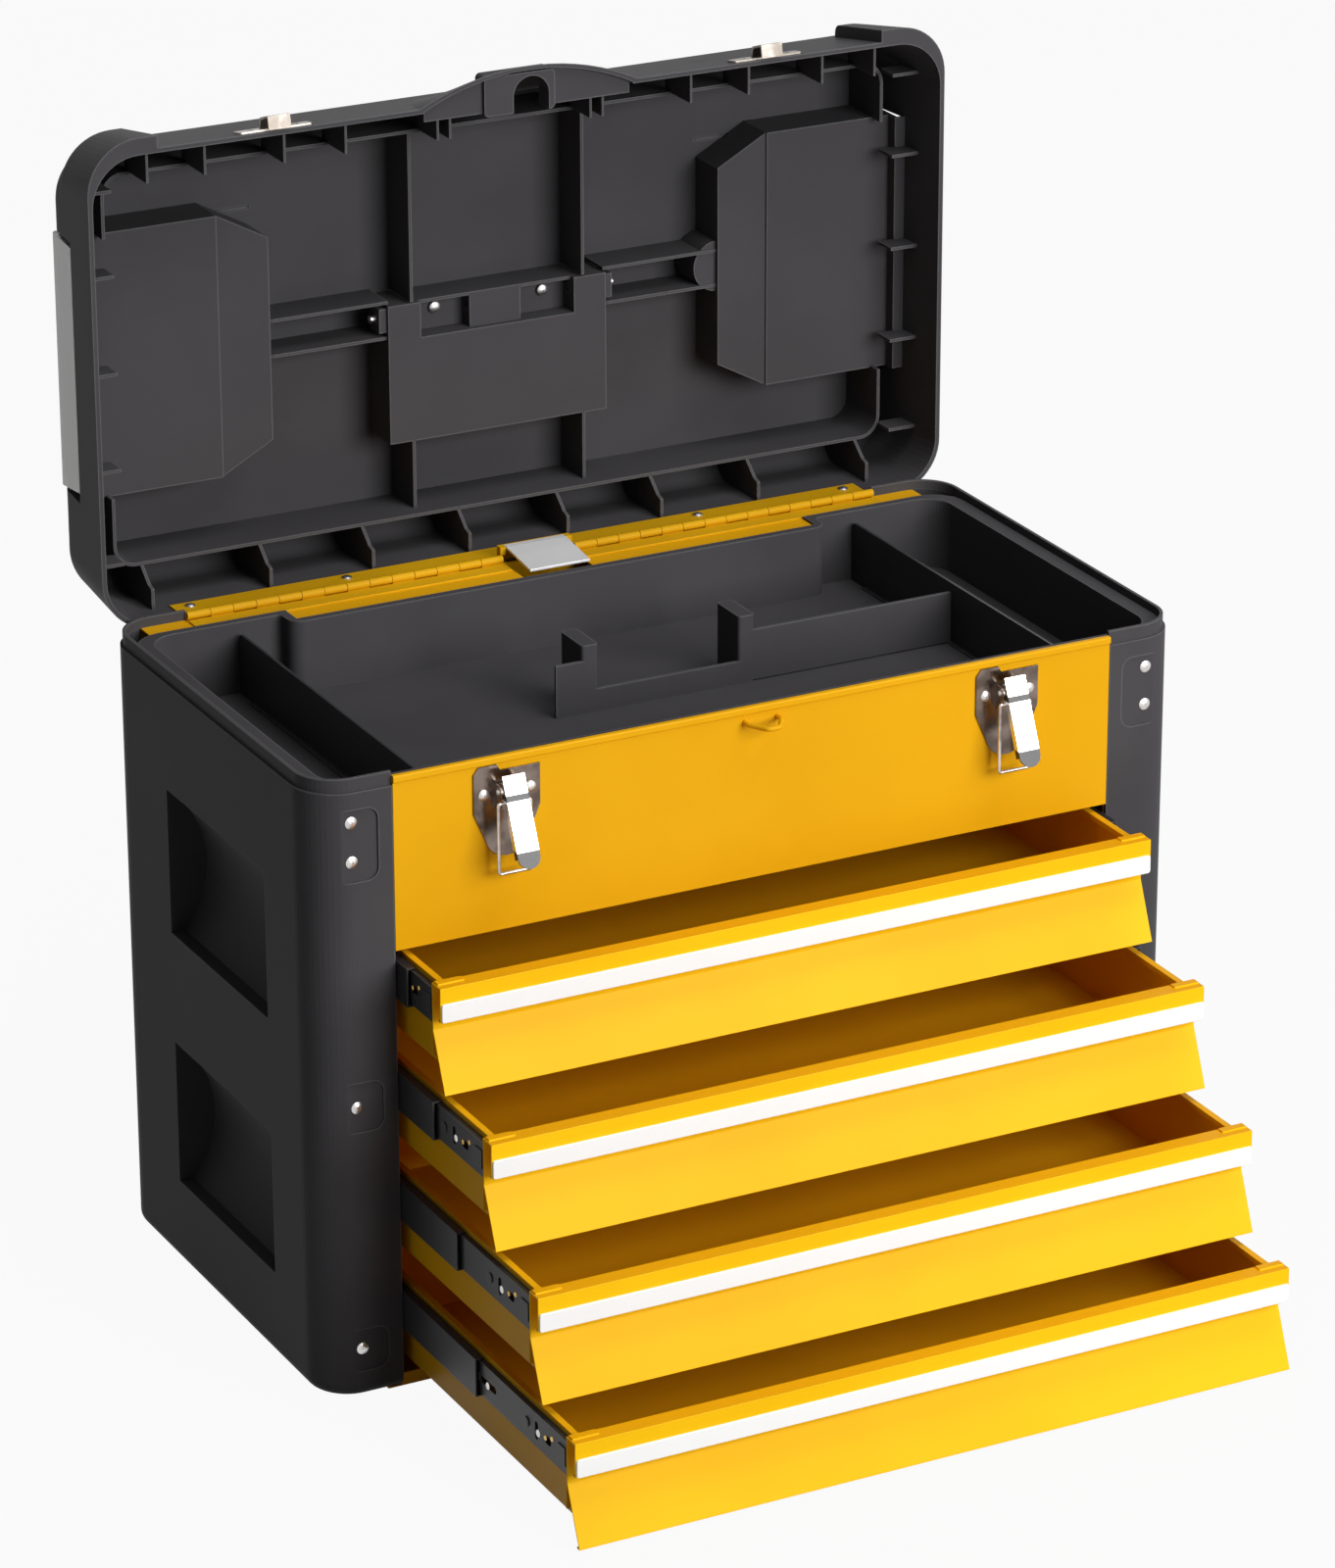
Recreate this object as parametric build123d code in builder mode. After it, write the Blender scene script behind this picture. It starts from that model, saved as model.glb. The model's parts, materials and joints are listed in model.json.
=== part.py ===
from build123d import *
import os
from math import cos, radians, sin, tan

os.makedirs("parts", exist_ok=True)

# Tool box with a steel carcass, moulded sides, four drawers, a top tray and a hinged lid.
# X runs to the right, Y to the back and Z up. The origin is the centre of the base.
# The lid stands open at a right angle, the drawers are part open and the latches hang loose.

# Body
WIDTH = 558.0
DEPTH = 287.0
RIM_Z = 380.0
OPENING_W = 460.0
CARCASS_W = 475.0
CORNER_R = 26.0
SIDE_WALL = 3.0
SHEET = 1.0
DECK_Z = 374.0
FRONT = -DEPTH / 2
BACK = DEPTH / 2
HALF_OPENING = OPENING_W / 2
HALF_CARCASS = CARCASS_W / 2
FLANGE_X = WIDTH / 2 - 20.4
CARCASS_FRONT = FRONT + SIDE_WALL
CARCASS_BACK = BACK - SIDE_WALL - SHEET

# Side mouldings
RIM_BAND_H = 8.0
RIM_BAND_INSET = 1.5
LEDGE_W = 5.0
LEDGE_H = 6.0
BASE_ROUND = 8.0
GRIP_LENGTH = 137.0
GRIP_H = 90.0
GRIP_DEPTH = 24.0
GRIP_CHIN = 9.0
GRIP_FROM_FRONT = 67.0
GRIP_CENTRES_Z = (260.0, 100.0)
PAD_SINK = 1.2
PAD_W = 29.0
PAD_FROM_SIDE = 25.5
PAD_ROUND = 7.0
PADS = ((340.0, 43.0), (181.5, 30.0), (30.0, 26.0))
PAD_RIVETS_Z = (354.0, 330.5, 181.5, 31.0)
RIVET_FROM_SIDE = 24.0
RIVET_R = 2.0
RIVET_HEAD_R = 3.6
RIVET_HEAD_H = 1.6
HOLE_GAP = 0.1

# Front panel and padlock staple
PANEL_BOTTOM = 272.5
PANEL_TOP = 377.5
PANEL_GAP = 0.3
BEAD_H = 4.6
BEAD_OUT = 1.3
BEAD_BACK = 3.0
HEM = 8.0
STAPLE_Z = 368.5
STAPLE_HALF_W = 10.5
STAPLE_OUT = 16.0
STAPLE_WIRE_R = 1.5

# Top tray
TRAY_FLOOR_Z = 331.0
TRAY_WALL = 2.5
TRAY_LIP = 1.5
TRAY_SIDE_GAP = 9.0
TRAY_FROM_FRONT = 6.5
TRAY_FROM_BACK = 22.0
TRAY_JOG = 16.0
TRAY_JOG_HALF_W = 176.0
TRAY_CORNER_R = 20.0
JOG_R = 6.0
PARTITION_X = 205.0
PARTITION_T = 1.6
PARTITION_H = 38.0
DIVIDER_FROM_FRONT = 139.0
DIVIDER_T = 2.0
DIVIDER_H = 32.5
DIVIDER_LOW_H = 14.0
DIVIDER_LEFT_X = -60.0
POST_W = 10.5
POST_D = 28.0
POST_H = 42.0
POSTS_X = (-43.0, 60.0)

# Drawers
DRAWER_OUT = (43.5, 105.5, 161.0, 204.5)
DRAWER_TRAVEL = 225.0
DRAWER_PITCH = 68.5
FIRST_DRAWER_Z = 241.5
FASCIA_W = 456.4
PULL_OUT = 9.9
PULL_TOP = 28.4
PULL_BOTTOM = 7.9
APRON_OUT = 14.35
APRON_DROP = 34.5
APRON_RETURN = 3.5
DRAWER_BOX_W = 446.0
DRAWER_BOX_L = 262.0
DRAWER_FLOOR_DROP = 22.0
DRAWER_SIDE_TOP = 27.0
DRAWER_HEM = 4.0
TRIM_H = 11.1
TRIM_T = 1.2
TAB_L = 16.0
TAB_H = 1.0

# Telescopic slides
SLIDE_Z = 13.2
SLIDE_H = 20.8
SLIDE_L = 250.0
SLIDE_SHEET = 1.0
SLIDE_GAP = 0.3
SLIDE_FROM_FRONT = 15.0
CLOSED_INSET = 12.5
LEVER_BACK = 128.0

# Lid, open at a right angle
LID_W = 560.0
LID_TOP = 661.0
LID_T = 78.0
LID_WALL = 3.0
LID_RIM_GAP = 0.4
LID_CORNER_R = 32.0
LID_SIDE_DRAFT = 7.4
LID_FRONT_DRAFT = 14.4
LID_EDGE_R = 18.0
BUMPER_OUT = 7.5
BUMPER_X = 236.0
BUMPER_DEPTH = 58.0
HOOD_H = 17.0
HOOD_HALF_W = 75.0
HOOD_DEPTH = 50.0
HOOD_SUNK = 3.0
SLOT_BLOCK_X = -6.0
SLOT_BLOCK_W = 46.0
SLOT_HALF_W = 11.5
GUSSET_TOP = 14.0
SIDE_RIB_SINK = 22.0
FRONT_RIB_SINK = 12.0
POCKET_RIB_H = 18.0
TUB_STEP = 1.2
BOSS_R = 16.0
BOSS_Z = 520.0
BRACKET_HALF_W = 17.0
SCREW_X = 36.0
SCREW_Z = 519.0
SCREW_R = 2.0
SCREW_BOSS = 1.5
LID_RIM_Y = BACK + LID_RIM_GAP
LID_LOW = DECK_Z - LID_WALL + 0.3
LID_MID_Z = (LID_LOW + LID_TOP) / 2
LID_BACK_Y = LID_RIM_Y + LID_T
WEB_Y = LID_BACK_Y - LID_WALL
FRAME_HALF_W = 257.5
FRAME_LOW = 397.0
FRAME_TOP = 638.0
FRAME_SINK = 36.0
FRAME_R = 14.0
RIB_T = 2.0
TUB_SINK = 46.0
TUB_INNER_X = 149.0
TUB_CHAMFER = (33.0, 18.0)
TUB_LOW = 439.5
TUB_TOP = 600.5
TUB_WALL = 2.5
CROSS_RIB_X = 57.0
GUSSETS_X = (33.0, 97.0, 164.0, 240.0)
SIDE_RIBS_Z = (405.0, 463.0, 522.0, 581.0, 632.0)
FRONT_RIBS_X = (46.0, 54.0, 113.0, 152.0, 202.0, 238.0)

# Hinge
KNUCKLE_R = 2.4
HINGE_PIN_R = 1.2
PIN_GAP = 0.05
STOP_HALF_W = 20.0
STOP_RISE = 9.0
STOP_REACH = 29.6
STRIKE_SINK = 8.0
HINGE_Y = BACK - 4.6
HINGE_Z = DECK_Z + KNUCKLE_R + 0.6
HINGE_HALF_L = 230.0
HINGE_CENTRE_GAP = 24.0
KNUCKLES_PER_SIDE = 14
KNUCKLE_END_GAP = 0.3
LEAF_W_LID = 20.0
LEAF_W_BODY = 11.0
LEAF_CLEAR = 0.5
LEAF_RIVETS_X = (118.0, 219.5)
LEAF_RIVET_BACK = 13.5

# Handle in the lid
WELL_HALF_W = 72.5
WELL_LOW = 441.5
WELL_TOP = 506.0
EAR_INNER_X = 51.0
EAR_TOP = 528.0
WELL_FLOOR = 2.5
HANDLE_Z = 519.0
HANDLE_SINK = 55.0
HANDLE_PIN_R = 2.5
HANDLE_ARM_T = 12.0
HANDLE_HALF_W = 66.0
HANDLE_DROP = 64.0
HANDLE_THICK = 16.0
HANDLE_NECK = 26.0

# Latches
LATCH_X = 160.5
LATCH_PLATE_T = 1.2
LATCH_W = 41.0
LATCH_TOP = 372.6
LATCH_SHOULDER = 345.0
LATCH_BOTTOM = 317.5
LATCH_TAIL_W = 26.0
LATCH_RIVET_X = 14.5
LATCH_RIVET_Z = 356.0
LATCH_PIVOT_OUT = 8.0
LATCH_PIVOT_Z = 359.0
LATCH_PIN_R = 1.5
LEVER_HALF_W = 6.8
LEVER_SHEET = 1.2
LEVER_ANGLE = 24.0
LEVER_L = 45.0
EAR_R = 3.6
BAIL_WIRE_R = 1.0
BAIL_ARM = 6.6
BAIL_ARM_ANGLE = 22.0
BAIL_L = 42.0
BAIL_HALF_W = 10.0
STRIKE_W = 46.0
STRIKE_PLATE_D = 10.0
STRIKE_HOOK_W = 14.0
STRIKE_HOOK_D = 14.0
STRIKE_HOOK_H = 9.0


def finish(piece, label):
    piece.part.label = label
    export_step(piece.part, f"parts/{label}.step")


def side_outline(inset, inner_x=HALF_OPENING, mode=Mode.ADD):
    """Plan of a left side moulding, drawn in by inset from its outer faces."""
    width = WIDTH / 2 - inset - inner_x
    with BuildSketch(mode=Mode.PRIVATE) as plan:
        with Locations((-inner_x - width / 2, 0)):
            Rectangle(width, DEPTH - 2 * inset)
        fillet(plan.vertices().group_by(Axis.X)[0], CORNER_R - inset)
    add(plan.sketch, mode=mode)


def grip_scoop(centre_z, grow):
    """Upright section of a hand grip: a shallow scoop with a chin at its foot."""
    low = centre_z - GRIP_H / 2
    top = centre_z + GRIP_H / 2
    face = -WIDTH / 2
    with BuildSketch(Plane.XZ, mode=Mode.PRIVATE) as section:
        with BuildLine():
            start = (face - 1, top)
            ThreePointArc((face, top), (face + GRIP_DEPTH, centre_z - 4), (face + GRIP_CHIN, low))
            Polyline((face + GRIP_CHIN, low), (face - 1, low), start, (face, top))
        make_face()
        if grow:
            offset(amount=grow, kind=Kind.INTERSECTION)
    add(section.sketch)


def rivet(radius, head_r, head_h, length):
    """A dome-headed rivet along Z: its head stands above Z = 0 and its shank goes below."""
    edge = head_h * 0.3
    dome_r = (head_r ** 2 + (head_h - edge) ** 2) / (2 * (head_h - edge))
    mid_x = head_r * 0.5
    mid_z = head_h - dome_r + (dome_r ** 2 - mid_x ** 2) ** 0.5
    with BuildPart() as one:
        with BuildSketch(Plane.XZ):
            with BuildLine():
                Polyline((0, head_h), (0, -length), (radius, -length), (radius, 0), (head_r, 0),
                         (head_r, edge))
                ThreePointArc((head_r, edge), (mid_x, mid_z), (0, head_h))
            make_face()
        revolve(axis=Axis.Z)
    return one.part


# Side mouldings: a hollow side that wraps round the front and back corners
with BuildPart() as side_left:
    with BuildSketch():
        side_outline(0)
    extrude(amount=RIM_Z)
    base_edges = side_left.edges().group_by(Axis.Z)[0]
    fillet([edge for edge in base_edges if edge.center().X < -HALF_OPENING - 1], BASE_ROUND)
    with BuildSketch(Plane.XY.offset(RIM_Z - RIM_BAND_H)):
        side_outline(0)
        side_outline(RIM_BAND_INSET, mode=Mode.SUBTRACT)
    extrude(amount=RIM_BAND_H, mode=Mode.SUBTRACT)
    with BuildSketch(Plane.XY.offset(SIDE_WALL)):
        side_outline(SIDE_WALL, HALF_OPENING - 1)
    extrude(amount=DECK_Z - SIDE_WALL, mode=Mode.SUBTRACT)
    with BuildSketch(Plane.XY.offset(DECK_Z)):
        with Locations((-WIDTH / 2 + SIDE_WALL / 2, 0)):
            Rectangle(SIDE_WALL / 2 + LEDGE_W, DEPTH - 2 * CORNER_R, align=(Align.MIN, Align.CENTER))
    extrude(amount=-LEDGE_H)
    with BuildSketch(Plane.XY.offset(SIDE_WALL)):
        for seat_y, seat_align in ((CARCASS_FRONT, Align.MIN), (BACK - SIDE_WALL, Align.MAX)):
            with Locations((-FLANGE_X - 0.2, seat_y)):
                Rectangle(2 * CORNER_R, SHEET, align=(Align.MIN, seat_align))
    extrude(amount=DECK_Z - SIDE_WALL, mode=Mode.SUBTRACT)
    with BuildSketch(Plane.XY.offset(DECK_Z)):
        side_outline(SIDE_WALL + 0.5, HALF_OPENING - 1)
    extrude(amount=RIM_Z - DECK_Z, mode=Mode.SUBTRACT)
    grip_back = Plane.XZ.offset(-(FRONT + GRIP_FROM_FRONT + GRIP_LENGTH))
    for grip_z in GRIP_CENTRES_Z:
        with BuildSketch(Plane.XZ.offset(-(FRONT + GRIP_FROM_FRONT + GRIP_LENGTH + SIDE_WALL))):
            grip_scoop(grip_z, SIDE_WALL)
            with Locations((-WIDTH / 2, grip_z)):
                Rectangle(2 * SIDE_WALL, 2 * GRIP_H, align=(Align.MAX, Align.CENTER), mode=Mode.SUBTRACT)
        extrude(amount=GRIP_LENGTH + 2 * SIDE_WALL)
    for grip_z in GRIP_CENTRES_Z:
        with BuildSketch(grip_back):
            grip_scoop(grip_z, 0)
        extrude(amount=GRIP_LENGTH, mode=Mode.SUBTRACT)
    for face_y, inward in ((FRONT, -PAD_SINK), (BACK, PAD_SINK)):
        with BuildSketch(Plane.XZ.offset(-face_y)):
            for pad_z, pad_h in PADS:
                with Locations((-WIDTH / 2 + PAD_FROM_SIDE, pad_z)):
                    RectangleRounded(PAD_W, pad_h, PAD_ROUND)
        extrude(amount=inward, mode=Mode.SUBTRACT)
        with BuildSketch(Plane.XZ.offset(-face_y)):
            with Locations([(-WIDTH / 2 + RIVET_FROM_SIDE, z) for z in PAD_RIVETS_Z]):
                Circle(RIVET_R + HOLE_GAP)
        extrude(amount=inward * 2 * SIDE_WALL, mode=Mode.SUBTRACT)
    foot_w = SHEET + 0.2
    with BuildSketch():
        with Locations((-HALF_CARCASS, 0)):
            Rectangle(foot_w, DEPTH - 2 * SIDE_WALL, align=(Align.MAX, Align.CENTER))
            Rectangle(CARCASS_W, DEPTH - 2 * SIDE_WALL, align=(Align.MIN, Align.CENTER))
    extrude(amount=SIDE_WALL, mode=Mode.SUBTRACT)
finish(side_left, "side_moulding_left")

with BuildPart() as side_right:
    add(side_left.part)
    mirror(about=Plane.YZ, mode=Mode.REPLACE)
finish(side_right, "side_moulding_right")

# Carcass: bottom and two sides folded from one sheet, with flanges behind the mouldings
SIDE_TOP_Z = TRAY_FLOOR_Z - TRAY_WALL - SHEET
CARCASS_L = CARCASS_BACK - CARCASS_FRONT
with BuildPart() as carcass:
    with BuildSketch(Plane.XZ.offset(-CARCASS_FRONT)):
        Rectangle(CARCASS_W + 2 * SHEET, SIDE_TOP_Z, align=(Align.CENTER, Align.MIN))
        with Locations((0, SHEET)):
            Rectangle(CARCASS_W, SIDE_TOP_Z, align=(Align.CENTER, Align.MIN), mode=Mode.SUBTRACT)
    extrude(amount=-CARCASS_L)
    with BuildSketch(Plane.XZ.offset(-CARCASS_FRONT)):
        with Locations((0, SIDE_WALL)):
            Rectangle(2 * FLANGE_X, SIDE_TOP_Z - SIDE_WALL, align=(Align.CENTER, Align.MIN))
        Rectangle(OPENING_W, 2 * SIDE_TOP_Z, align=(Align.CENTER, Align.CENTER), mode=Mode.SUBTRACT)
    extrude(amount=-SHEET)
    with BuildSketch(Plane.XZ.offset(-CARCASS_FRONT)):
        Rectangle(OPENING_W, HEM, align=(Align.CENTER, Align.MIN))
    extrude(amount=-SHEET)
    with BuildSketch(Plane.XZ.offset(-CARCASS_FRONT)):
        for side in (-1, 1):
            with Locations([(side * (WIDTH / 2 - RIVET_FROM_SIDE), z) for z in PAD_RIVETS_Z]):
                Circle(RIVET_R + HOLE_GAP)
    extrude(amount=-SHEET, mode=Mode.SUBTRACT)
finish(carcass, "carcass")

# Back panel, with a deck flange folded forward to carry the hinge
JOG_Y = BACK - TRAY_FROM_BACK - TRAY_JOG
STOP_NOTCH_HALF_W = HINGE_CENTRE_GAP - 1.0
with BuildPart() as back_panel:
    with BuildSketch(Plane.XZ.offset(-CARCASS_BACK)):
        with Locations((0, SIDE_WALL)):
            Rectangle(2 * FLANGE_X, DECK_Z - SIDE_WALL, align=(Align.CENTER, Align.MIN))
        Rectangle(CARCASS_W, SIDE_WALL, align=(Align.CENTER, Align.MIN))
    extrude(amount=-SHEET)
    with BuildSketch(Plane.XY.offset(DECK_Z - SHEET)):
        with Locations((0, CARCASS_BACK)):
            Rectangle(2 * FLANGE_X, CARCASS_BACK - (BACK - TRAY_FROM_BACK) - 0.5,
                      align=(Align.CENTER, Align.MAX))
        with Locations((0, CARCASS_BACK)):
            middle = Rectangle(2 * (TRAY_JOG_HALF_W - 1), CARCASS_BACK - JOG_Y - 0.5,
                               align=(Align.CENTER, Align.MAX))
        fillet(middle.vertices().group_by(Axis.Y)[0], JOG_R)
        with Locations((0, CARCASS_BACK)):
            Rectangle(2 * STOP_NOTCH_HALF_W, 2 * TRAY_FROM_BACK + TRAY_JOG, align=(Align.CENTER, Align.MAX),
                      mode=Mode.SUBTRACT)
    extrude(amount=SHEET)
    with BuildSketch(Plane.XZ.offset(-CARCASS_BACK)):
        for side in (-1, 1):
            with Locations([(side * (WIDTH / 2 - RIVET_FROM_SIDE), z) for z in PAD_RIVETS_Z]):
                Circle(RIVET_R + HOLE_GAP)
    extrude(amount=-SHEET, mode=Mode.SUBTRACT)
finish(back_panel, "back_panel")

# Rivets that hold the mouldings to the carcass and back panel
pad_rivet = rivet(RIVET_R, RIVET_HEAD_R, RIVET_HEAD_H, SIDE_WALL - PAD_SINK + SHEET)
with BuildPart() as side_rivets:
    for side in (-1, 1):
        rivet_x = side * (WIDTH / 2 - RIVET_FROM_SIDE)
        for rivet_z in PAD_RIVETS_Z:
            front_seat = Plane((rivet_x, FRONT + PAD_SINK, rivet_z), x_dir=(1, 0, 0), z_dir=(0, -1, 0))
            back_seat = Plane((rivet_x, BACK - PAD_SINK, rivet_z), x_dir=(1, 0, 0), z_dir=(0, 1, 0))
            with Locations(front_seat, back_seat):
                add(pad_rivet)
finish(side_rivets, "side_rivets")

# Front panel with a rolled bead along its top
with BuildPart() as front_panel:
    with BuildSketch(Plane.YZ.offset(-HALF_OPENING + PANEL_GAP)):
        with Locations((FRONT, PANEL_BOTTOM)):
            Rectangle(SHEET, PANEL_TOP - PANEL_BOTTOM, align=(Align.MIN, Align.MIN))
            Rectangle(HEM, SHEET, align=(Align.MIN, Align.MIN))
    extrude(amount=OPENING_W - 2 * PANEL_GAP)
    with BuildSketch(Plane.YZ.offset(-HALF_OPENING + PANEL_GAP)):
        with Locations((FRONT - BEAD_OUT, PANEL_TOP)):
            RectangleRounded(BEAD_OUT + BEAD_BACK, BEAD_H, 1.2, align=(Align.MIN, Align.MAX))
    extrude(amount=OPENING_W - 2 * PANEL_GAP)
    with BuildSketch(Plane.XZ.offset(-FRONT)):
        with Locations((-STAPLE_HALF_W, STAPLE_Z), (STAPLE_HALF_W, STAPLE_Z)):
            Circle(STAPLE_WIRE_R + 0.05)
        for side in (-1, 1):
            for rivet_dx in (-LATCH_RIVET_X, LATCH_RIVET_X):
                with Locations((side * LATCH_X + rivet_dx, LATCH_RIVET_Z)):
                    Circle(RIVET_R - 0.5 + HOLE_GAP)
    extrude(amount=-SHEET, mode=Mode.SUBTRACT)
finish(front_panel, "front_panel")

# Padlock staple: a wire loop that stands out of the front panel
with BuildPart() as staple:
    staple_in = FRONT + SHEET + 2
    with BuildLine() as staple_path:
        FilletPolyline((-STAPLE_HALF_W, staple_in, STAPLE_Z), (-STAPLE_HALF_W, FRONT - 5, STAPLE_Z),
                       (-3.5, FRONT - STAPLE_OUT, STAPLE_Z), (3.5, FRONT - STAPLE_OUT, STAPLE_Z),
                       (STAPLE_HALF_W, FRONT - 5, STAPLE_Z), (STAPLE_HALF_W, staple_in,
                                                              STAPLE_Z), radius=3.0)
    with BuildSketch(Plane((-STAPLE_HALF_W, staple_in, STAPLE_Z), z_dir=(0, -1, 0))):
        Circle(STAPLE_WIRE_R)
    sweep()
finish(staple, "padlock_staple")

# Shelf that carries the top tray
with BuildPart() as shelf:
    with BuildSketch(Plane.XY.offset(SIDE_TOP_Z)):
        with Locations((0, FRONT + SIDE_WALL + SHEET)):
            Rectangle(CARCASS_W + 2 * SHEET, CARCASS_BACK - FRONT - SIDE_WALL - SHEET,
                      align=(Align.CENTER, Align.MIN))
    extrude(amount=SHEET)
finish(shelf, "tray_shelf")


def tray_outline(inset):
    """Plan of the top tray, with its back wall set forward between the hinge ends."""
    half_w = WIDTH / 2 - TRAY_SIDE_GAP - SIDE_WALL
    back_y = BACK - TRAY_FROM_BACK
    front_y = FRONT + TRAY_FROM_FRONT
    with BuildSketch(mode=Mode.PRIVATE) as plan:
        with BuildLine():
            Polyline((-half_w, front_y), (half_w, front_y), (half_w, back_y), (TRAY_JOG_HALF_W, back_y),
                     (TRAY_JOG_HALF_W, back_y - TRAY_JOG), (-TRAY_JOG_HALF_W, back_y - TRAY_JOG),
                     (-TRAY_JOG_HALF_W, back_y), (-half_w, back_y), close=True)
        make_face()
        outer = plan.vertices().group_by(Axis.X)
        fillet(outer[0] + outer[-1], TRAY_CORNER_R)
        jog = [v for v in plan.vertices() if abs(abs(v.X) - TRAY_JOG_HALF_W) < 0.01]
        fillet(jog, JOG_R)
        if inset:
            offset(amount=-inset)
    add(plan.sketch)


# Top tray: a moulded liner whose lip rests on the deck flange and the side ledges
with BuildPart() as tray:
    with BuildSketch(Plane.XY.offset(TRAY_FLOOR_Z - TRAY_WALL)):
        tray_outline(0)
    extrude(amount=DECK_Z + TRAY_LIP - TRAY_FLOOR_Z + TRAY_WALL)
    with BuildSketch(Plane.XY.offset(DECK_Z)):
        with Locations((0, FRONT + SIDE_WALL + 0.8)):
            lip_w = WIDTH - 2 * SIDE_WALL - 2.4
            Rectangle(lip_w, DEPTH / 2, align=(Align.CENTER, Align.MIN))
        with Locations((0, BACK - TRAY_FROM_BACK + 3)):
            Rectangle(lip_w, DEPTH / 2, align=(Align.CENTER, Align.MAX))
        with Locations((0, BACK)):
            Rectangle(2 * (TRAY_JOG_HALF_W - 3), TRAY_FROM_BACK + TRAY_JOG - 3,
                      align=(Align.CENTER, Align.MAX),
                      mode=Mode.SUBTRACT)
    extrude(amount=TRAY_LIP)
    fillet(tray.edges().filter_by(Axis.Z).filter_by(
        lambda e: abs(e.center().X) > WIDTH / 2 - 6), CORNER_R - SIDE_WALL - 1)
    with BuildSketch(Plane.XY.offset(TRAY_FLOOR_Z)):
        tray_outline(TRAY_WALL)
    extrude(amount=RIM_Z - TRAY_FLOOR_Z, mode=Mode.SUBTRACT)
finish(tray, "top_tray")

# Steel partitions that part off the two ends of the tray
PARTITION_FRONT = FRONT + TRAY_FROM_FRONT + TRAY_WALL + 0.3
PARTITION_BACK = BACK - TRAY_FROM_BACK - TRAY_WALL - 0.3
with BuildPart() as partitions:
    for side in (-1, 1):
        with BuildSketch(Plane.YZ.offset(side * PARTITION_X)):
            with Locations((PARTITION_FRONT, TRAY_FLOOR_Z)):
                wall = Rectangle(PARTITION_BACK - PARTITION_FRONT, PARTITION_H, align=(Align.MIN, Align.MIN))
            fillet(wall.vertices().group_by(Axis.Y)[-1], 5)
        extrude(amount=PARTITION_T / 2, both=True)
        with BuildSketch(Plane.XY.offset(TRAY_FLOOR_Z)):
            with Locations((side * PARTITION_X, 0)):
                Rectangle(7, DEPTH * 0.7)
        extrude(amount=SHEET)
finish(partitions, "tray_partitions")

# Moulded divider with two posts, set along the middle of the tray
DIVIDER_Y = FRONT + DIVIDER_FROM_FRONT
with BuildPart() as divider:
    with BuildSketch(Plane.XY.offset(TRAY_FLOOR_Z)):
        with Locations(*[(post_x, DIVIDER_Y) for post_x in POSTS_X]):
            posts = RectangleRounded(POST_W, POST_D, 2, align=(Align.MIN, Align.MIN))
    extrude(amount=POST_H)
    with BuildSketch(Plane.XY.offset(TRAY_FLOOR_Z)):
        with Locations((DIVIDER_LEFT_X, DIVIDER_Y)):
            Rectangle(POSTS_X[1] - DIVIDER_LEFT_X + 4, DIVIDER_T, align=(Align.MIN, Align.MIN))
    extrude(amount=DIVIDER_LOW_H)
    right_end = PARTITION_X - PARTITION_T / 2 - 0.3
    with BuildSketch(Plane.XZ.offset(-DIVIDER_Y)):
        with Locations((POSTS_X[1] + 4, TRAY_FLOOR_Z + SHEET)):
            Rectangle(right_end - POSTS_X[1] - 4, DIVIDER_H - SHEET, align=(Align.MIN, Align.MIN))
        with Locations((DIVIDER_LEFT_X, TRAY_FLOOR_Z)):
            Rectangle(POSTS_X[0] - DIVIDER_LEFT_X + 4, DIVIDER_H, align=(Align.MIN, Align.MIN))
    extrude(amount=-DIVIDER_T)
finish(divider, "tray_divider")

# Drawers and their telescopic slides, each drawer part open
FASCIA_X = -FASCIA_W / 2
LIP = PULL_OUT
RECESS = SHEET


def slide_channels(inner_x, outer_x, height, front_y, centre_z):
    """A pair of channels, left and right: an outer web with two flanges, drawn out along Y."""
    with BuildPart() as pair:
        for side in (-1, 1):
            middle_x = side * (inner_x + outer_x) / 2
            with BuildSketch(Plane.XZ.offset(-front_y)):
                with Locations((middle_x, centre_z)):
                    Rectangle(outer_x - inner_x, height)
                with Locations((middle_x - side * SLIDE_SHEET, centre_z)):
                    Rectangle(outer_x - inner_x, height - 2 * SLIDE_SHEET, mode=Mode.SUBTRACT)
            extrude(amount=-SLIDE_L)
    return pair.part


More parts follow.
